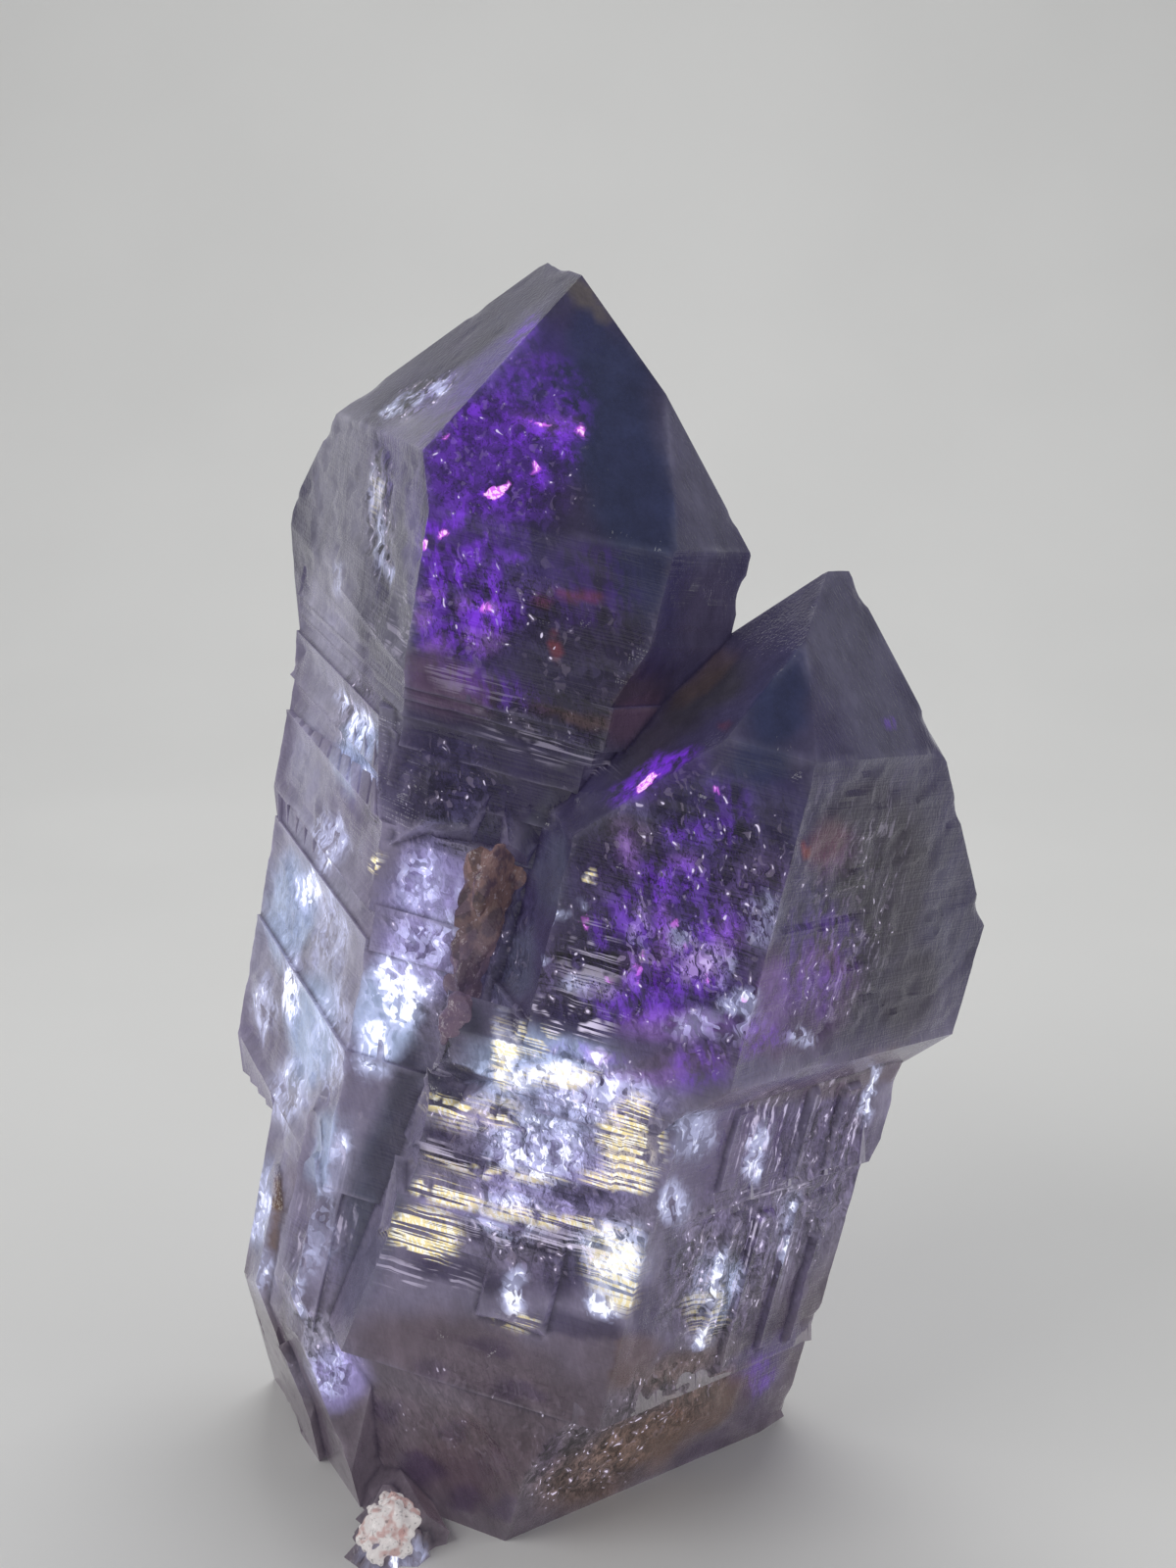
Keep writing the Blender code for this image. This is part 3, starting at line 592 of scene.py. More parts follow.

# What lies over the tints, with spots in the same way: painted light, cracks and relief. An amount over 1
# makes a spot's middle harder.
paint = {
    "glow": [  # painted violet light inside the heads, given off as emission
        (500, 470, 80, 100, 8, 0.38), (545, 400, 50, 46, 0, 0.4), (570, 425, 34, 30, 0, 0.5),
        (560, 435, 40, 12, 14, 1.0), (578, 455, 24, 10, 60, 0.9), (548, 488, 10, 28, 10, 0.9),
        (520, 450, 22, 9, -40, 0.8), (500, 425, 30, 10, 10, 0.7), (470, 440, 14, 20, 20, 0.6),
        (508, 500, 30, 14, -28, 1.0), (470, 530, 44, 9, -35, 0.9), (535, 345, 12, 34, 30, 0.5),
        (438, 552, 18, 26, 0, 1.0), (450, 590, 10, 44, 5, 0.8), (475, 575, 36, 14, -50, 0.9),
        (505, 565, 34, 7, 5, 0.6), (500, 600, 16, 26, 10, 0.8), (495, 628, 32, 28, 0, 1.0),
        (465, 655, 40, 16, 10, 0.6), (440, 640, 14, 26, 0, 0.5), (600, 600, 50, 50, 0, 0.12),
        (665, 790, 54, 16, -28, 0.9), (700, 850, 26, 16, 0, 0.5), (690, 900, 50, 24, 10, 0.45),
        (650, 935, 30, 34, 10, 0.55), (730, 950, 26, 40, 0, 0.5), (672, 940, 12, 66, 4, 0.9),
        (612, 950, 12, 30, 0, 0.4), (840, 980, 50, 60, 0, 0.22), (650, 1020, 50, 26, 0, 0.6),
        (740, 830, 30, 36, 0, 0.3), (770, 1060, 46, 20, 0, 0.4), (710, 1090, 36, 24, 0, 0.45),
        (785, 1235, 10, 90, 8, 0.2), (778, 1400, 18, 22, 0, 0.28), (500, 700, 60, 20, 20, 0.25),
        (905, 742, 8, 8, 0, 0.5), (700, 990, 40, 26, 0, 0.7), (600, 1075, 40, 10, 8, 0.6),
    ],
    "hot": [  # where that painted light is strongest
        (508, 500, 15, 6, -28, 1.2), (453, 543, 4, 4, 0, 1.0), (436, 553, 5, 4, -20, 0.9),
        (467, 413, 4, 4, 0, 0.5), (450, 451, 6, 3, -50, 0.6), (590, 438, 8, 4, 20, 0.6),
        (552, 428, 12, 4, 15, 0.6), (546, 478, 4, 12, 10, 0.5), (498, 622, 8, 8, 0, 0.45),
        (660, 800, 15, 6, -28, 1.1), (735, 812, 5, 6, 0, 0.6), (700, 965, 8, 8, 0, 0.4),
        (720, 1000, 8, 8, 0, 0.35), (595, 945, 9, 16, 0, 0.5), (755, 1025, 8, 8, 0, 0.3),
        (655, 990, 7, 20, 0, 0.35), (690, 940, 8, 8, 0, 0.5), (620, 1000, 12, 6, 0, 0.5),
    ],
    "white": [  # painted white light in the pale quartz, given off as emission
        (360, 740, 11, 24, 0, 0.7), (362, 790, 18, 12, 20, 0.8), (340, 715, 8, 12, 0, 0.6),
        (330, 860, 22, 34, 0, 0.5), (306, 905, 20, 20, 0, 1.0), (292, 1010, 12, 34, 8, 1.1),
        (330, 950, 24, 50, 0, 0.4), (262, 1030, 12, 34, 0, 0.5), (330, 1060, 30, 60, 0, 0.45),
        (290, 1110, 26, 40, 0, 0.5), (262, 1225, 12, 60, -6, 0.6), (268, 1300, 14, 22, 0, 0.5),
        (300, 1320, 16, 40, 0, 0.5), (430, 900, 30, 30, 0, 0.5), (435, 960, 34, 40, 5, 0.5),
        (404, 1012, 36, 40, 5, 1.0), (380, 1064, 20, 34, 0, 0.9), (560, 1100, 60, 14, -6, 1.0),
        (613, 1077, 10, 9, 0, 1.3), (511, 1068, 13, 42, 0, 1.0), (640, 1180, 30, 36, 0, 0.45),
        (550, 1170, 56, 44, 0, 0.85), (610, 1120, 60, 30, 0, 0.7), (500, 1135, 36, 22, 0, 0.35),
        (520, 1240, 44, 26, 10, 0.6), (625, 1280, 34, 34, 20, 0.75), (620, 1330, 20, 16, 0, 0.9),
        (690, 1230, 22, 26, 0, 0.5), (733, 1308, 22, 40, 14, 1.0), (718, 1368, 18, 14, 0, 0.8),
        (805, 1250, 8, 60, 8, 0.8), (775, 1180, 10, 34, 8, 0.6), (890, 1120, 6, 34, 8, 0.7),
        (330, 1400, 26, 22, 30, 0.6), (342, 1172, 16, 16, 0, 0.7), (525, 1320, 12, 30, 6, 0.7),
        (325, 1250, 20, 60, 6, 0.3), (402, 418, 12, 6, -20, 0.8), (424, 404, 12, 5, -20, 0.6),
        (446, 396, 9, 4, -30, 0.5), (604, 893, 4, 3, 0, 1.0), (590, 925, 5, 8, 0, 0.7),
        (565, 935, 10, 4, 0, 0.8), (552, 980, 8, 3, 0, 0.8), (730, 1045, 60, 18, 0, 0.4),
        (693, 955, 16, 16, 0, 0.5), (720, 985, 30, 20, 0, 0.5), (755, 1025, 24, 16, 0, 0.6),
        (650, 950, 16, 24, 0, 0.4), (600, 1010, 30, 10, 0, 0.5), (780, 940, 24, 30, 0, 0.25),
        (820, 1060, 24, 10, 0, 0.4), (480, 900, 12, 24, 0, 0.4), (700, 1160, 40, 30, 0, 0.4),
        (376, 500, 5, 26, 0, 0.4), (384, 556, 6, 30, 0, 0.45), (390, 590, 4, 14, 0, 0.4),
        (400, 1600, 40, 40, 0, 0.9), (345, 590, 6, 20, 0, 0.3),
    ],
    "paintedFlash": [  # painted yellow and white flashes on the growth lines, given off as emission
        (488, 1135, 40, 20, -10, 1.0), (645, 1165, 36, 40, 0, 1.0), (630, 1206, 34, 9, 10, 1.0),
        (452, 1220, 32, 13, 10, 1.0), (432, 1262, 40, 24, 10, 0.9), (604, 893, 5, 4, 0, 0.8),
        (570, 1100, 50, 12, -6, 0.4), (511, 1072, 13, 38, 0, 0.8), (625, 1290, 34, 34, 0, 0.4),
        (379, 878, 8, 12, 30, 1.0), (560, 1245, 90, 7, 10, 0.5), (500, 1195, 90, 6, 10, 0.4),
        (525, 1350, 24, 10, 0, 0.4), (440, 1125, 20, 12, 0, 0.5), (725, 1345, 24, 30, 14, 0.2),
        (378, 505, 5, 26, 0, 0.12), (640, 1320, 20, 20, 0, 0.5), (540, 1060, 30, 16, 0, 0.4),
    ],
    "dark": [  # cracks, dark specks and rungs
        (380, 815, 16, 40, 0, 1.0), (500, 470, 100, 100, 0, 0.6), (500, 620, 90, 60, 0, 0.8),
        (700, 920, 130, 120, 0, 0.9), (560, 1180, 130, 80, 0, 0.7), (440, 960, 50, 120, 0, 0.35),
        (600, 740, 120, 40, 14, 0.8), (740, 1320, 90, 80, 0, 0.7), (470, 830, 60, 60, 0, 0.8),
        (590, 1000, 60, 50, 0, 0.9), (450, 1180, 40, 20, 14, 1.0), (540, 1260, 80, 24, 10, 0.9),
        (650, 1450, 120, 70, -10, 0.5), (450, 1085, 40, 34, 0, 1.0), (820, 1200, 60, 100, 0, 0.6),
        (320, 1390, 40, 50, 0, 0.5), (290, 1000, 40, 100, 0, 0.2), (500, 1400, 90, 50, 0, 0.2),
    ],
    "strands": [  # bundles of pale lines of painted light across the dark
        (575, 1040, 52, 22, 10, 1.0), (560, 765, 80, 14, 16, 0.25), (470, 1180, 60, 10, 14, 0.6),
        (600, 980, 30, 40, 0, 0.4), (545, 1265, 90, 12, 10, 0.6), (480, 700, 70, 20, 30, 0.15),
        (430, 1300, 60, 16, 12, 0.4), (400, 640, 30, 60, 40, 0.2), (800, 1215, 80, 6, -8, 0.4),
    ],
    "ribs": [  # ribs that run along the crystal, pressed into the relief, with painted light and shade along them
        (790, 1160, 60, 60, 0, 0.8), (860, 1150, 30, 60, 0, 1.0), (790, 1270, 44, 70, 0, 1.0),
        (740, 1290, 40, 50, 0, 0.5), (900, 880, 40, 90, 0, 0.2), (840, 850, 60, 60, 0, 0.1),
        (870, 990, 40, 60, 0, 0.25), (340, 1230, 30, 90, 0, 0.5), (300, 1280, 20, 60, 0, 0.4),
    ],
    "sparks": [  # how thickly the painted glints and the dented chips lie
        (510, 470, 90, 110, 0, 0.42), (490, 610, 80, 70, 0, 0.6), (600, 660, 80, 50, 0, 0.4),
        (560, 740, 110, 24, 14, 0.3), (430, 402, 50, 22, -30, 1.0), (385, 530, 16, 90, 0, 1.0),
        (360, 740, 40, 60, 0, 0.6), (700, 900, 130, 120, 0, 0.7), (760, 1040, 120, 60, 0, 0.65),
        (620, 1000, 90, 50, 0, 1.0), (860, 950, 70, 120, 0, 0.55), (560, 1130, 130, 70, 0, 0.8),
        (560, 1250, 130, 60, 14, 0.8), (740, 1300, 80, 90, 0, 0.9), (840, 1200, 60, 100, 0, 0.7),
        (690, 1425, 110, 40, -16, 0.8), (430, 960, 40, 120, 0, 0.6), (290, 960, 40, 110, 0, 0.25),
        (460, 800, 60, 50, 0, 0.6), (480, 1440, 130, 60, 0, 0.25), (320, 1380, 50, 50, 0, 0.8),
        (450, 1085, 40, 34, 0, 0.6), (510, 960, 26, 90, 8, 0.5), (590, 1490, 100, 50, 0, 0.9),
    ],
}

# how a spot is laid on
stroke = {
    "sway": 9,  # how far its outline wanders, in pixels of the photograph
    "shiver": 4,
    "swayScale": (0.45, 0.45, 0.45),
    "shiverScale": (1.3, 1.3, 1.3),
    "soft": (0.55, 1.25),  # where it begins to fade and where it ends, in shares of its half size
    "reach": 3.0,  # how deep it goes in millimetres, besides its own half size
    "sameFace": (0.60, 0.92),  # the cosine to the face that it was laid on
    "otherFace": 0.2,  # its share on other faces
}


class Brush:
    # Paints spots on the skin from in front, and again from behind for the side that isn't seen.
    def __init__(self, places, outward, tree):
        self.tree = tree
        self.places = places
        self.outward = outward
        own = ownPlaces(places)
        sway, rise = [
            stroke["sway"] * noiseAt(own, stroke["swayScale"], seed)
            + stroke["shiver"] * noiseAt(own, stroke["shiverScale"], seed + 1)
            for seed in (61, 71)  # across and down
        ]
        self.sides = []
        for lookout, facing in ((Lookout(), 1), (Lookout(180), -1)):
            x, y, depth = lookout.pixels(places)
            self.sides.append((lookout, facing, x + sway, y + rise, depth))

    def spot(self, px, py, wide, tall, turn, amount):
        total = np.zeros(len(self.places))
        cosine, sine = math.cos(math.radians(turn)), math.sin(math.radians(turn))
        for lookout, facing, x, y, depth in self.sides:
            seenX = px if facing > 0 else shot["frame"][0] - px
            found, faced = lookout.hit(seenX, py, self.tree)
            if found is None:
                continue
            near = (np.array(found) - lookout.place) @ lookout.view
            dx, dy = facing * (x - seenX), y - py
            along = (dx * cosine + dy * sine) / wide
            down = (dy * cosine - dx * sine) / tall
            deep = (depth - near) / (stroke["reach"] + (wide + tall) / (2 * shot["scale"]))
            gap = np.sqrt(along ** 2 + down ** 2 + deep ** 2)
            own = smoothStep(self.outward @ np.array(faced), *stroke["sameFace"])
            share = stroke["otherFace"] + (1 - stroke["otherFace"]) * own
            total = np.maximum(total, amount * share * (1 - smoothStep(gap, *stroke["soft"])))
        return total

    def layer(self, spots):
        return np.max([self.spot(*spot) for spot in spots], axis=0)


zones = {
    # the line between the two crystals, each y and x in pixels of the photograph
    "seam": [(260, 990), (650, 747), (790, 600), (870, 520), (1070, 410), (1400, 330)],
    "seamWidth": 15,  # how softly that line is drawn, in pixels either way
    "tallEdge": (-19, -8),  # where each head's violet begins and is full, along the crystal
    "shortEdge": (-17, -4),
    "stem": tone(124, 117, 141),
    "head": tone(60, 56, 82),
    "foot": tone(94, 85, 96),
    "footTop": (9, 17),
}


def violetZone(places, front):
    # the heads are violet and the stems pale; the seam parts the two crystals
    x, y, _ = front.pixels(places)
    seam = np.interp(y, *zip(*zones["seam"]))
    short = smoothStep(x - seam, -zones["seamWidth"], zones["seamWidth"])
    alongTall = (places - np.array(tallCentre)) @ np.array(axis)
    alongShort = (places - np.array(shortCentre)) @ np.array(axis)
    wander = 2.5 * noiseAt(ownPlaces(places), *weave["zone"])
    tall = smoothStep(alongTall + wander, *zones["tallEdge"])
    low = smoothStep(alongShort + wander, *zones["shortEdge"])
    return 0.12 + 0.88 * (tall * (1 - short) + low * short)


def over(below, colour, amount):
    return below + (np.array(colour) - below) * np.clip(amount, 0, 1)[:, None]


def tintSkin(places, brush):
    # one colour for every point: the zones first, then the tints' spots
    zone = violetZone(places, brush.sides[0][0])
    foot = 1 - smoothStep(places[:, 2], *zones["footTop"])
    own = ownPlaces(places)
    tint = over(np.tile(zones["stem"], (len(places), 1)), zones["head"], zone)
    tint = over(tint, zones["foot"], foot)
    for colour, spots in tints.values():
        tint = over(tint, colour, brush.layer(spots))
    patches = 1 + 0.22 * noiseAt(own, *weave["patch"]) + 0.14 * noiseAt(own, *weave["finePatch"])
    patches += 0.16 * noiseAt(brush.outward, *weave["face"])  # each face a little lighter or darker
    return tint * patches[:, None]


glassLook = {
    "filmShare": 0.85,  # how much of the tint the film reflects
    "glassShare": 0.9,  # how much of it the clear quartz lets through
    "innerShare": 0.42,  # how much of it is painted as light from inside, given off as emission
    # the colours of the painted light, given off as emission
    "violetLight": tone(120, 38, 222),
    "hotLight": tone(226, 110, 250),
    "hotCore": tone(255, 214, 250),
    "whiteLight": tone(198, 204, 244),
    "whiteCore": tone(246, 250, 255),
    "spark": tone(232, 222, 250),
    "flash": tone(246, 228, 158),
    "flashCore": tone(255, 252, 236),
    "creamLight": tone(238, 226, 204),
    "lilacLight": tone(206, 176, 244),
    "crumb": tone(150, 138, 158),
    "crumbShare": 0.45,
    "absorption": (0.70, 0.60, 0.92),
    "density": 45.0,
    "veil": 0.70,  # how much of the surface is clouded by the film, at least
}


def smokyGlass():
    look = glassLook
    sheet = Sheet("amethystGlass")
    space = sheet.crystalSpace()
    slanted = sheet.crystalSpace(0.45)
    tint = sheet.painted("tint", 0)
    names = ("glow", "hot", "white", "paintedFlash", "dark", "strands", "ribs", "sparks", "lined")
    glow, hot, white, paintedFlash, dark, strands, ribs, sparks, lined = map(sheet.painted, names)

    mottle = sheet.noise(slanted, 0.85, (1.5, 1.5, 0.55), 3, 0.65)
    fine = sheet.noise(slanted, 3.2, (1.6, 1.6, 0.55), 1, 0.65)
    lines = sheet.noise(space, 1.0, (0.18, 0.18, 6.5), 1, 0.6)
    broadLines = sheet.noise(space, 1.0, (0.5, 0.5, 0.6), 2, 0.65)
    alongRibs = sheet.noise(space, 1.0, (2.2, 2.2, 0.16), 2, 0.65)
    wander = sheet.noiseVector(space, 1.3)
    bent = sheet.add("ShaderNodeVectorMath", {"operation": "ADD"}, {0: slanted, 1: wander})
    chips = sheet.cells(bent, 1.5, (1.2, 1.2, 0.55))
    crumbs = sheet.cells(bent, 3.4, (1.1, 1.1, 0.5))

    grain = mottle * 0.6 + fine * 0.4 - 0.5
    veins = (mottle + fine * 0.3 - 0.65).size()
    seams = veins.steps(0.022, 0.004) * dark
    rungs = lines.steps(0.46, 0.40) * (dark - 0.55).steps(0.0, 0.3) * broadLines.steps(0.45, 0.52)
    specks = fine.steps(0.60, 0.68) * dark
    facets = chips.steps(0.47, 0.52) * 0.4 + chips.steps(0.70, 0.74) * 0.4 + crumbs.steps(0.66, 0.72) * 0.45
    # painted light and shade in bands along the upright ribs
    ridges = (alongRibs - 0.5) * ribs * 3.5
    cellTone = chips.steps(0.15, 0.85) * 0.55 + crumbs.steps(0.15, 0.85) * 0.45 - 0.5
    shaded = 1 + grain * (0.8 + sparks * 3.0) + ridges
    shaded = shaded * (1 - seams * 0.6) * (1 - rungs * 0.6) * (1 - specks * 0.7)
    shaded = (shaded * (1 + cellTone * sparks * 1.6)).most(0.05)
    body = sheet.blend(1.0, tint, shaded, "MULTIPLY")
    body = sheet.blend(crumbs.steps(0.80, 0.83) * sparks * look["crumbShare"], body, look["crumb"])

    # Painted light, given off as emission: the violet and white glow, hot spots, glints, yellow flashes,
    # highlights on the ribs and pale threads.
    tiny = crumbs.output(0).steps(0.34, 0.20) * crumbs.steps(0.76, 0.80)
    glitter = tiny * (sparks * 1.4 - (1 - mottle.steps(0.42, 0.60)) * 0.8).steps(0.05, 0.5)
    inViolet = glow * (mottle.steps(0.40, 0.60) * 0.70 + facets * 0.36) * (1 - specks) * (1 - seams)
    inWhite = white * (broadLines.steps(0.42, 0.54) * 0.55 + facets * 1.35)
    inWhite = inWhite * (1 - specks) * (1 - seams * 0.9)
    inWhite += (white - 0.55).steps(0.0, 0.45) * mottle.steps(0.36, 0.58) * 0.45
    flashes = (paintedFlash * 1.6).least(1.0) * lines.steps(0.47, 0.53) * broadLines.steps(0.38, 0.46)
    ribLight = ribs * alongRibs.steps(0.56, 0.62) * mottle.steps(0.46, 0.56)
    burning = (hot * 1.6 - (1 - facets) * 0.45).steps(0.15, 0.75)

    light = sheet.dimmed(body, look["innerShare"])
    light = sheet.blend((inViolet * 0.8).least(1.0), light, look["violetLight"])
    pale = sheet.blend((glow * 1.6).least(1.0), look["whiteLight"], look["lilacLight"])
    pale = sheet.blend((paintedFlash * 1.3).least(1.0), pale, look["creamLight"])
    light = sheet.blend((inWhite * 0.85).least(1.0), light, pale)
    light = sheet.blend((inWhite - 0.75).steps(0.0, 0.4), light, look["whiteCore"])
    light = sheet.blend(burning, light, look["hotLight"])
    hottest = (burning * 1.4 - 0.6).steps(0.2, 0.8) * fine.steps(0.44, 0.54)
    light = sheet.blend(hottest, light, look["hotCore"])
    flash = sheet.blend(fine.steps(0.46, 0.56), look["flash"], look["flashCore"])
    light = sheet.blend(flashes, light, flash)
    threads = strands * lines.steps(0.52, 0.57) * broadLines.steps(0.44, 0.54)
    light = sheet.blend((ribLight * 0.6 + glitter * 0.8 + threads * 0.8).least(1.0), light, look["spark"])

    bump = sheet.bump(lines * lined * 0.6 + fine * 0.5, 0.45, 0.0002)
    glass = sheet.stone(sheet.dimmed(body, look["glassShare"]), 0.02 + mottle * 0.12, light, bump, 1.0)
    film = sheet.stone(sheet.dimmed(body, look["filmShare"]), 0.03 + fine * 0.18, light, bump)
    cover = (look["veil"] + 0.25 * mottle).least(0.95)
    surface = sheet.add("ShaderNodeMixShader", {}, {0: cover, 1: glass, 2: film})
    soaking = {"Color": look["absorption"], "Density": look["density"]}
    volume = sheet.add("ShaderNodeVolumeAbsorption", {}, soaking)
    sheet.material.cycles.emission_sampling = "NONE"
    return sheet.finish(surface, volume)


def newPiece(name, places, faces, material):
    mesh = bpy.data.meshes.new(name)
    mesh.from_pydata([tuple(p) for p in np.array(places) * metres], [], faces)
    mesh.update()
    mesh.materials.append(material)
    mesh.shade_smooth()
    mesh.set_sharp_from_angle(angle=math.radians(skin["sharp"]))
    piece = bpy.data.objects.new(name, mesh)
    bpy.context.scene.collection.objects.link(piece)
    return piece


# painted shade in the creases between faces, and a painted highlight along the ridges, both broken up by
# the wear noise
edges = {
    "creaseShade": tone(36, 31, 50),
    "creaseShare": 0.62,
    "ridgeShare": 0.4,
    "reach": 0.32,  # how far the painted shade comes out of a crease
}


def addCrystal(tree):
    places, triangles, normals, room, bends = fineSkin()
    outward = pointNormals(places, triangles, normals)
    brush = Brush(places, outward, tree)
    masks = {name: brush.layer(spots) for name, spots in paint.items()}
    gap, nearest = edgeGaps(places, len(room))
    depth = relief(places, outward, brush.sides[0][0], masks["sparks"], masks["ribs"])
    depth *= 0.15 + 0.85 * smoothStep(gap, 0.0, 1.0)
    wear = noiseAt(ownPlaces(places), *weave["wear"])
    depth += skin["nick"] * np.clip((wear - 0.25) / 0.3, 0, 1) * (1 - smoothStep(gap, 0.0, 0.8))
    depth = np.minimum(depth, room[nearest] + 0.35 * gap)
    depth[places[:, 2] < 0.02] = 0
    moved = places - outward * depth[:, None]
    piece = newPiece("amethystCrystal", moved, triangles, smokyGlass())
    masks["lined"] = 1 - smoothStep(np.abs(outward @ np.array(axis)), 0.15, 0.40)  # the prism sides
    for name, values in masks.items():
        layer = piece.data.attributes.new(name, "FLOAT", "POINT")
        layer.data.foreach_set("value", values.astype(np.float32))
    # Painted shade darkens the creases and a painted highlight brightens the ridges.
    bend = bends[nearest]
    near = 1 - smoothStep(gap, 0.05, 0.50)
    creaseShade = (1 - smoothStep(gap, 0.0, edges["reach"])) * smoothStep(-bend, 0.10, 0.45)
    creaseShade *= 0.5 + 0.5 * smoothStep(wear, -0.3, 0.3)
    ridgeHighlight = near * smoothStep(bend, 0.20, 0.60) * smoothStep(wear, -0.35, 0.25)
    colours = tintSkin(places, brush)
    colours = over(colours, edges["creaseShade"], creaseShade * edges["creaseShare"])
    colours = over(colours, colours * 1.5 + 0.05, ridgeHighlight * edges["ridgeShare"])
    tint = np.column_stack((colours, np.ones(len(places))))
    layer = piece.data.attributes.new("tint", "FLOAT_COLOR", "POINT")
    layer.data.foreach_set("color", tint.astype(np.float32).ravel())
    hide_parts("amethyst_crystal")
    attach(piece, "root")
    print("crystal skin:", len(places), "points,", len(triangles), "triangles")


# The amber vein that fills the cleft: lumps along the photograph's pixels, each x, y and radius in pixels.
vein = {
    "lumps": [
        (512, 884, 20), (490, 892, 21), (526, 892, 13), (502, 910, 24), (482, 918, 18), (518, 914, 15),
        (495, 936, 23), (478, 946, 18), (508, 940, 14), (486, 960, 21), (472, 974, 17), (490, 982, 17),
        (480, 996, 19), (468, 1008, 17), (484, 1012, 14), (470, 1028, 16), (460, 1042, 14), (453, 1054, 10),
    ],
    "sink": 0.16,  # share of each lump's radius under the skin
    "shape": (0.85, 1.2, 0.42),  # a lump's width, height and thickness
    "voxel": 0.12,
    "middle": (486, 960),  # the pixel where the dim lower half begins
    "share": 0.28,  # how much of the colour is painted as light from inside, given off as emission
    "bumps": 0.09,
    "bumpNoise": ((2.2, 2.2, 1.0), 8),
    "deep": tone(80, 64, 76),
    "amber": tone(116, 92, 92),
    "dim": tone(98, 84, 106),  # the lower half
    "pale": tone(150, 136, 148),
}


def fused(name, blobs, voxel):
    # overlapping blobs made into one closed mesh
    mesh = bmesh.new()
    for place, size, turn in blobs:
        made = bmesh.ops.create_icosphere(mesh, subdivisions=3, radius=1.0)["verts"]
        for vert in made:
            bumpy = 1 + 0.30 * noise.noise(vert.co * 1.3 + place)
            bumpy += 0.12 * noise.noise(vert.co * 3.1 + place)
            vert.co = place + turn @ Vector([vert.co[k] * size[k] * bumpy for k in range(3)])
    rough = bpy.data.meshes.new(name + "Blobs")
    mesh.to_mesh(rough)
    mesh.free()
    holder = bpy.data.objects.new(name + "Blobs", rough)
    bpy.context.scene.collection.objects.link(holder)
    remesh = holder.modifiers.new("fuse", "REMESH")
    remesh.mode = "VOXEL"
    remesh.voxel_size = voxel
    done = holder.evaluated_get(bpy.context.evaluated_depsgraph_get()).to_mesh()
    places = [tuple(v.co) for v in done.vertices]
    faces = [tuple(p.vertices) for p in done.polygons]
    bpy.data.objects.remove(holder)
    bpy.data.meshes.remove(rough)
    return np.array(places), faces


def addVein(tree):
    front = Lookout()
    blobs = []
    for x, y, radius in vein["lumps"]:
        place, normal = front.hit(x, y, tree)
        size = radius / shot["scale"]
        turn = normal.to_track_quat("Z", "Y").to_matrix()
        blobs.append((place - normal * size * vein["sink"], [size * part for part in vein["shape"]], turn))
    places, faces = fused("amberVein", blobs, vein["voxel"])
    lumps = vein["bumps"] * noiseAt(places, *vein["bumpNoise"])
    away = places - places.mean(0)
    places = places + away / np.linalg.norm(away, axis=1)[:, None] * lumps[:, None]
    sheet = Sheet("amberQuartz")
    space = sheet.crystalSpace()
    patches = sheet.noise(space, 0.9, (1, 1, 0.7), 3, 0.6)
    fine = sheet.noise(space, 3.5, (1, 1, 1), 2, 0.6)
    colour = sheet.blend(patches.steps(0.38, 0.56), vein["deep"], vein["amber"])
    halfway = front.hit(*vein["middle"], tree)[0].dot(axis)
    along = sheet.add("ShaderNodeSeparateXYZ", {}, {"Vector": space}, 2)
    colour = sheet.blend(along.steps(halfway + 2.5, halfway - 2.5) * 0.8, colour, vein["dim"])
    chips = sheet.cells(space, 1.1, (1.0, 1.0, 0.6))
    colour = sheet.blend(1.0, colour, chips * 0.9 + 0.62, "MULTIPLY")
    colour = sheet.blend((fine * 0.6 + patches * 0.4).steps(0.56, 0.64) * 0.8, colour, vein["pale"])
    light = sheet.dimmed(colour, vein["share"])
    stone = sheet.stone(colour, 0.04 + patches * 0.14, light, sheet.bump(fine, 0.5, 0.0002))
    piece = newPiece("amberVein", places, faces, sheet.finish(stone))
    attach(piece, "root")
    print("amber vein:", len(faces), "faces")


# The crust of small white knobs low on the left, placed by the photograph's pixels.
druse = {
    "middle": (397, 1562),
    "spread": (30, 36),
    "knobs": 110,
    "radius": (0.20, 0.50),
    "splay": 0.25,  # how far the knobs lean away from the skin's own direction
    "voxel": 0.12,
    # how much of the colour is painted as light from inside, given off as emission
    "share": 0.30,
    "snow": tone(220, 214, 214),
    "blush": tone(196, 166, 164),
    "seed": 23,
}


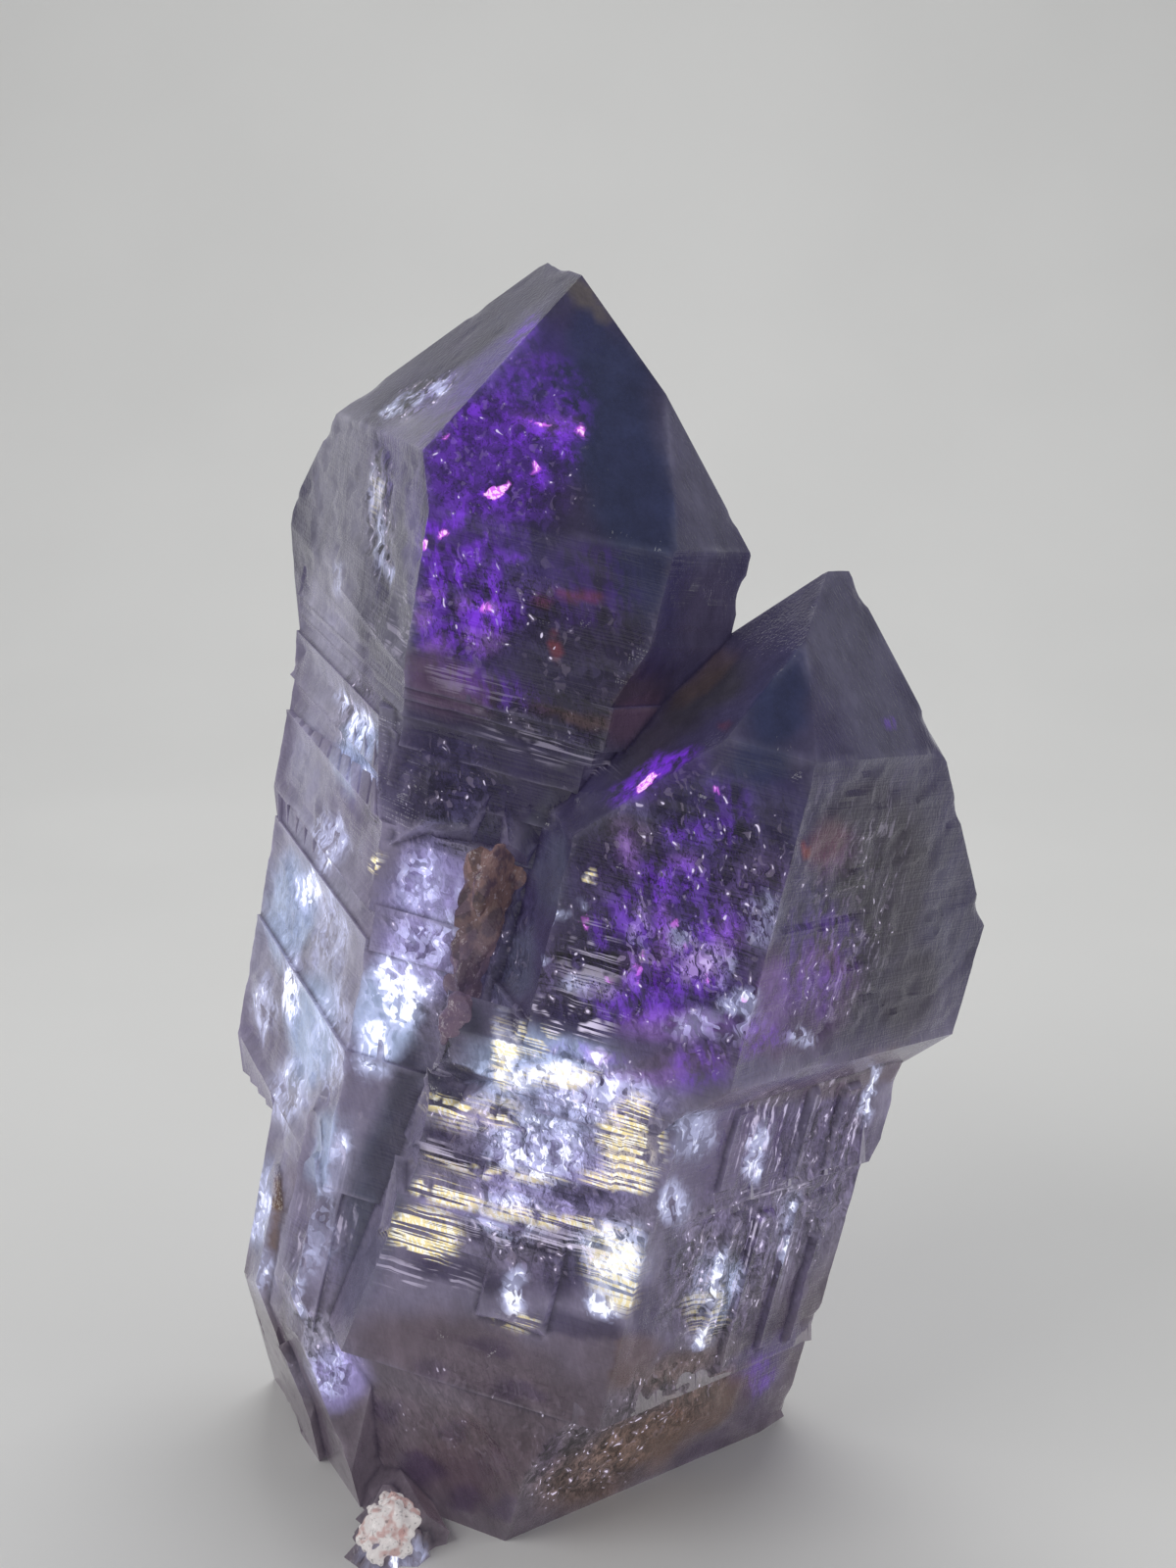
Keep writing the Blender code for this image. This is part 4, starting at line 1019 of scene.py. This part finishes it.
def addDruse(tree):
    front = Lookout()
    dice = random.Random(druse["seed"])
    low = np.array(cadBox[0]) / metres
    blobs = []
    for _ in range(druse["knobs"]):
        angle, reach = dice.uniform(0, math.tau), math.sqrt(dice.random())
        x = druse["middle"][0] + druse["spread"][0] * reach * math.cos(angle)
        y = druse["middle"][1] + druse["spread"][1] * reach * math.sin(angle)
        radius = dice.uniform(*druse["radius"])
        splay = Vector([dice.uniform(-1, 1) for _ in range(3)]) * druse["splay"]
        shape = (radius, radius * dice.uniform(0.7, 1.0), radius * dice.uniform(0.9, 1.5))
        place, normal = front.hit(x, y, tree)
        if place is None:
            continue
        margin = 1.7 * max(shape)
        if any(place[k] - margin < low[k] for k in range(3)):  # it would stand out of the solid's box
            continue
        blobs.append((place, shape, (normal + splay).normalized().to_track_quat("Z", "X").to_matrix()))
    places, faces = fused("druseCrust", blobs, druse["voxel"])
    sheet = Sheet("snowyQuartz")
    space = sheet.crystalSpace()
    patches = sheet.noise(space, 0.8, (1, 1, 1), 2, 0.6)
    fine = sheet.noise(space, 4.0, (1, 1, 1), 2, 0.6)
    colour = sheet.blend(patches.steps(0.48, 0.6), druse["snow"], druse["blush"])
    # dark flecks by noise, in the colour of the painted crease shade
    colour = sheet.blend(fine.steps(0.55, 0.7) * 0.5, colour, edges["creaseShade"])
    light = sheet.dimmed(colour, druse["share"])
    stone = sheet.stone(colour, 0.12 + fine * 0.25, light, sheet.bump(fine, 0.3, 0.0001))
    piece = newPiece("druseCrust", places, faces, sheet.finish(stone))
    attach(piece, "root")
    print("druse crust:", len(blobs), "knobs,", len(faces), "faces")


studio = {
    "floor": (0.80, 0.80, 0.79),
    "fleck": 0.97,  # how bright its darker patches are beside it
    "bendAt": 170.0,  # how far behind the crystal the floor begins to rise
    "bendRadius": 160.0,
    "width": 1600.0,
    "front": -700.0,
    "top": 900.0,
    "bendSteps": 16,
    "air": (0.83, 0.84, 0.86, 1),
    "airStrength": 0.33,
    "aim": (0, 0, 38),  # where the lights point
    "lights": {  # each one's place, size, power and colour
        "keyLeft": ((-260, -170, 300), (240, 240), 0.50, (1.0, 0.99, 0.97)),
        "fillRight": ((300, -120, 180), (220, 260), 0.15, (1.0, 0.99, 0.96)),
        "topBack": ((40, 180, 330), (260, 160), 0.44, (1, 1, 1)),
    },
}


def addStudio():
    sheet = Sheet("studioPaper")
    space = sheet.crystalSpace()
    grain = sheet.noise(space, 0.02, (1, 1, 1), 2, 0.5)
    darker = [c * studio["fleck"] for c in studio["floor"]]
    colour = sheet.blend(grain.steps(0.3, 0.7), studio["floor"], darker)
    paper = sheet.add("ShaderNodeBsdfPrincipled", {}, {"Base Color": colour, "Roughness": 0.7})
    material = sheet.finish(paper)
    bendAt, radius = studio["bendAt"], studio["bendRadius"]
    profile = [(studio["front"], 0.0), (bendAt, 0.0)]
    for step in range(1, studio["bendSteps"] + 1):
        turn = math.radians(90 * step / studio["bendSteps"])
        profile.append((bendAt + radius * math.sin(turn), radius * (1 - math.cos(turn))))
    profile.append((bendAt + radius, studio["top"]))
    half = studio["width"] / 2
    places = [(x, y, z) for y, z in profile for x in (-half, half)]
    faces = [(2 * k, 2 * k + 1, 2 * k + 3, 2 * k + 2) for k in range(len(profile) - 1)]
    backdrop = newPiece("studioBackdrop", places, faces, material)
    print("backdrop:", len(faces), "faces")


def addLight(name, place, size, power, colour):
    data = bpy.data.lights.new(name, "AREA")
    data.shape = "RECTANGLE"
    data.size, data.size_y = size[0] * metres, size[1] * metres
    data.energy = power
    data.color = colour
    light = bpy.data.objects.new(name, data)
    light.location = Vector(place) * metres
    aim = Vector(studio["aim"]) - Vector(place)
    light.rotation_euler = aim.to_track_quat("-Z", "Y").to_euler()
    bpy.context.scene.collection.objects.link(light)


def addLights():
    world = bpy.data.worlds.new("studioAir")
    world.use_nodes = True
    background = world.node_tree.nodes["Background"]
    background.inputs["Color"].default_value = studio["air"]
    background.inputs["Strength"].default_value = studio["airStrength"]
    bpy.context.scene.world = world
    for name, values in studio["lights"].items():
        addLight(name, *values)
    print("lights:", ", ".join(studio["lights"]))


bpy.context.scene.view_settings.view_transform = "Standard"
addCamera()
addStudio()
addLights()
cadMesh = weldedCad()
cadTree = BVHTree.FromBMesh(cadMesh)
addCrystal(cadTree)
addVein(cadTree)
addDruse(cadTree)
cadMesh.free()
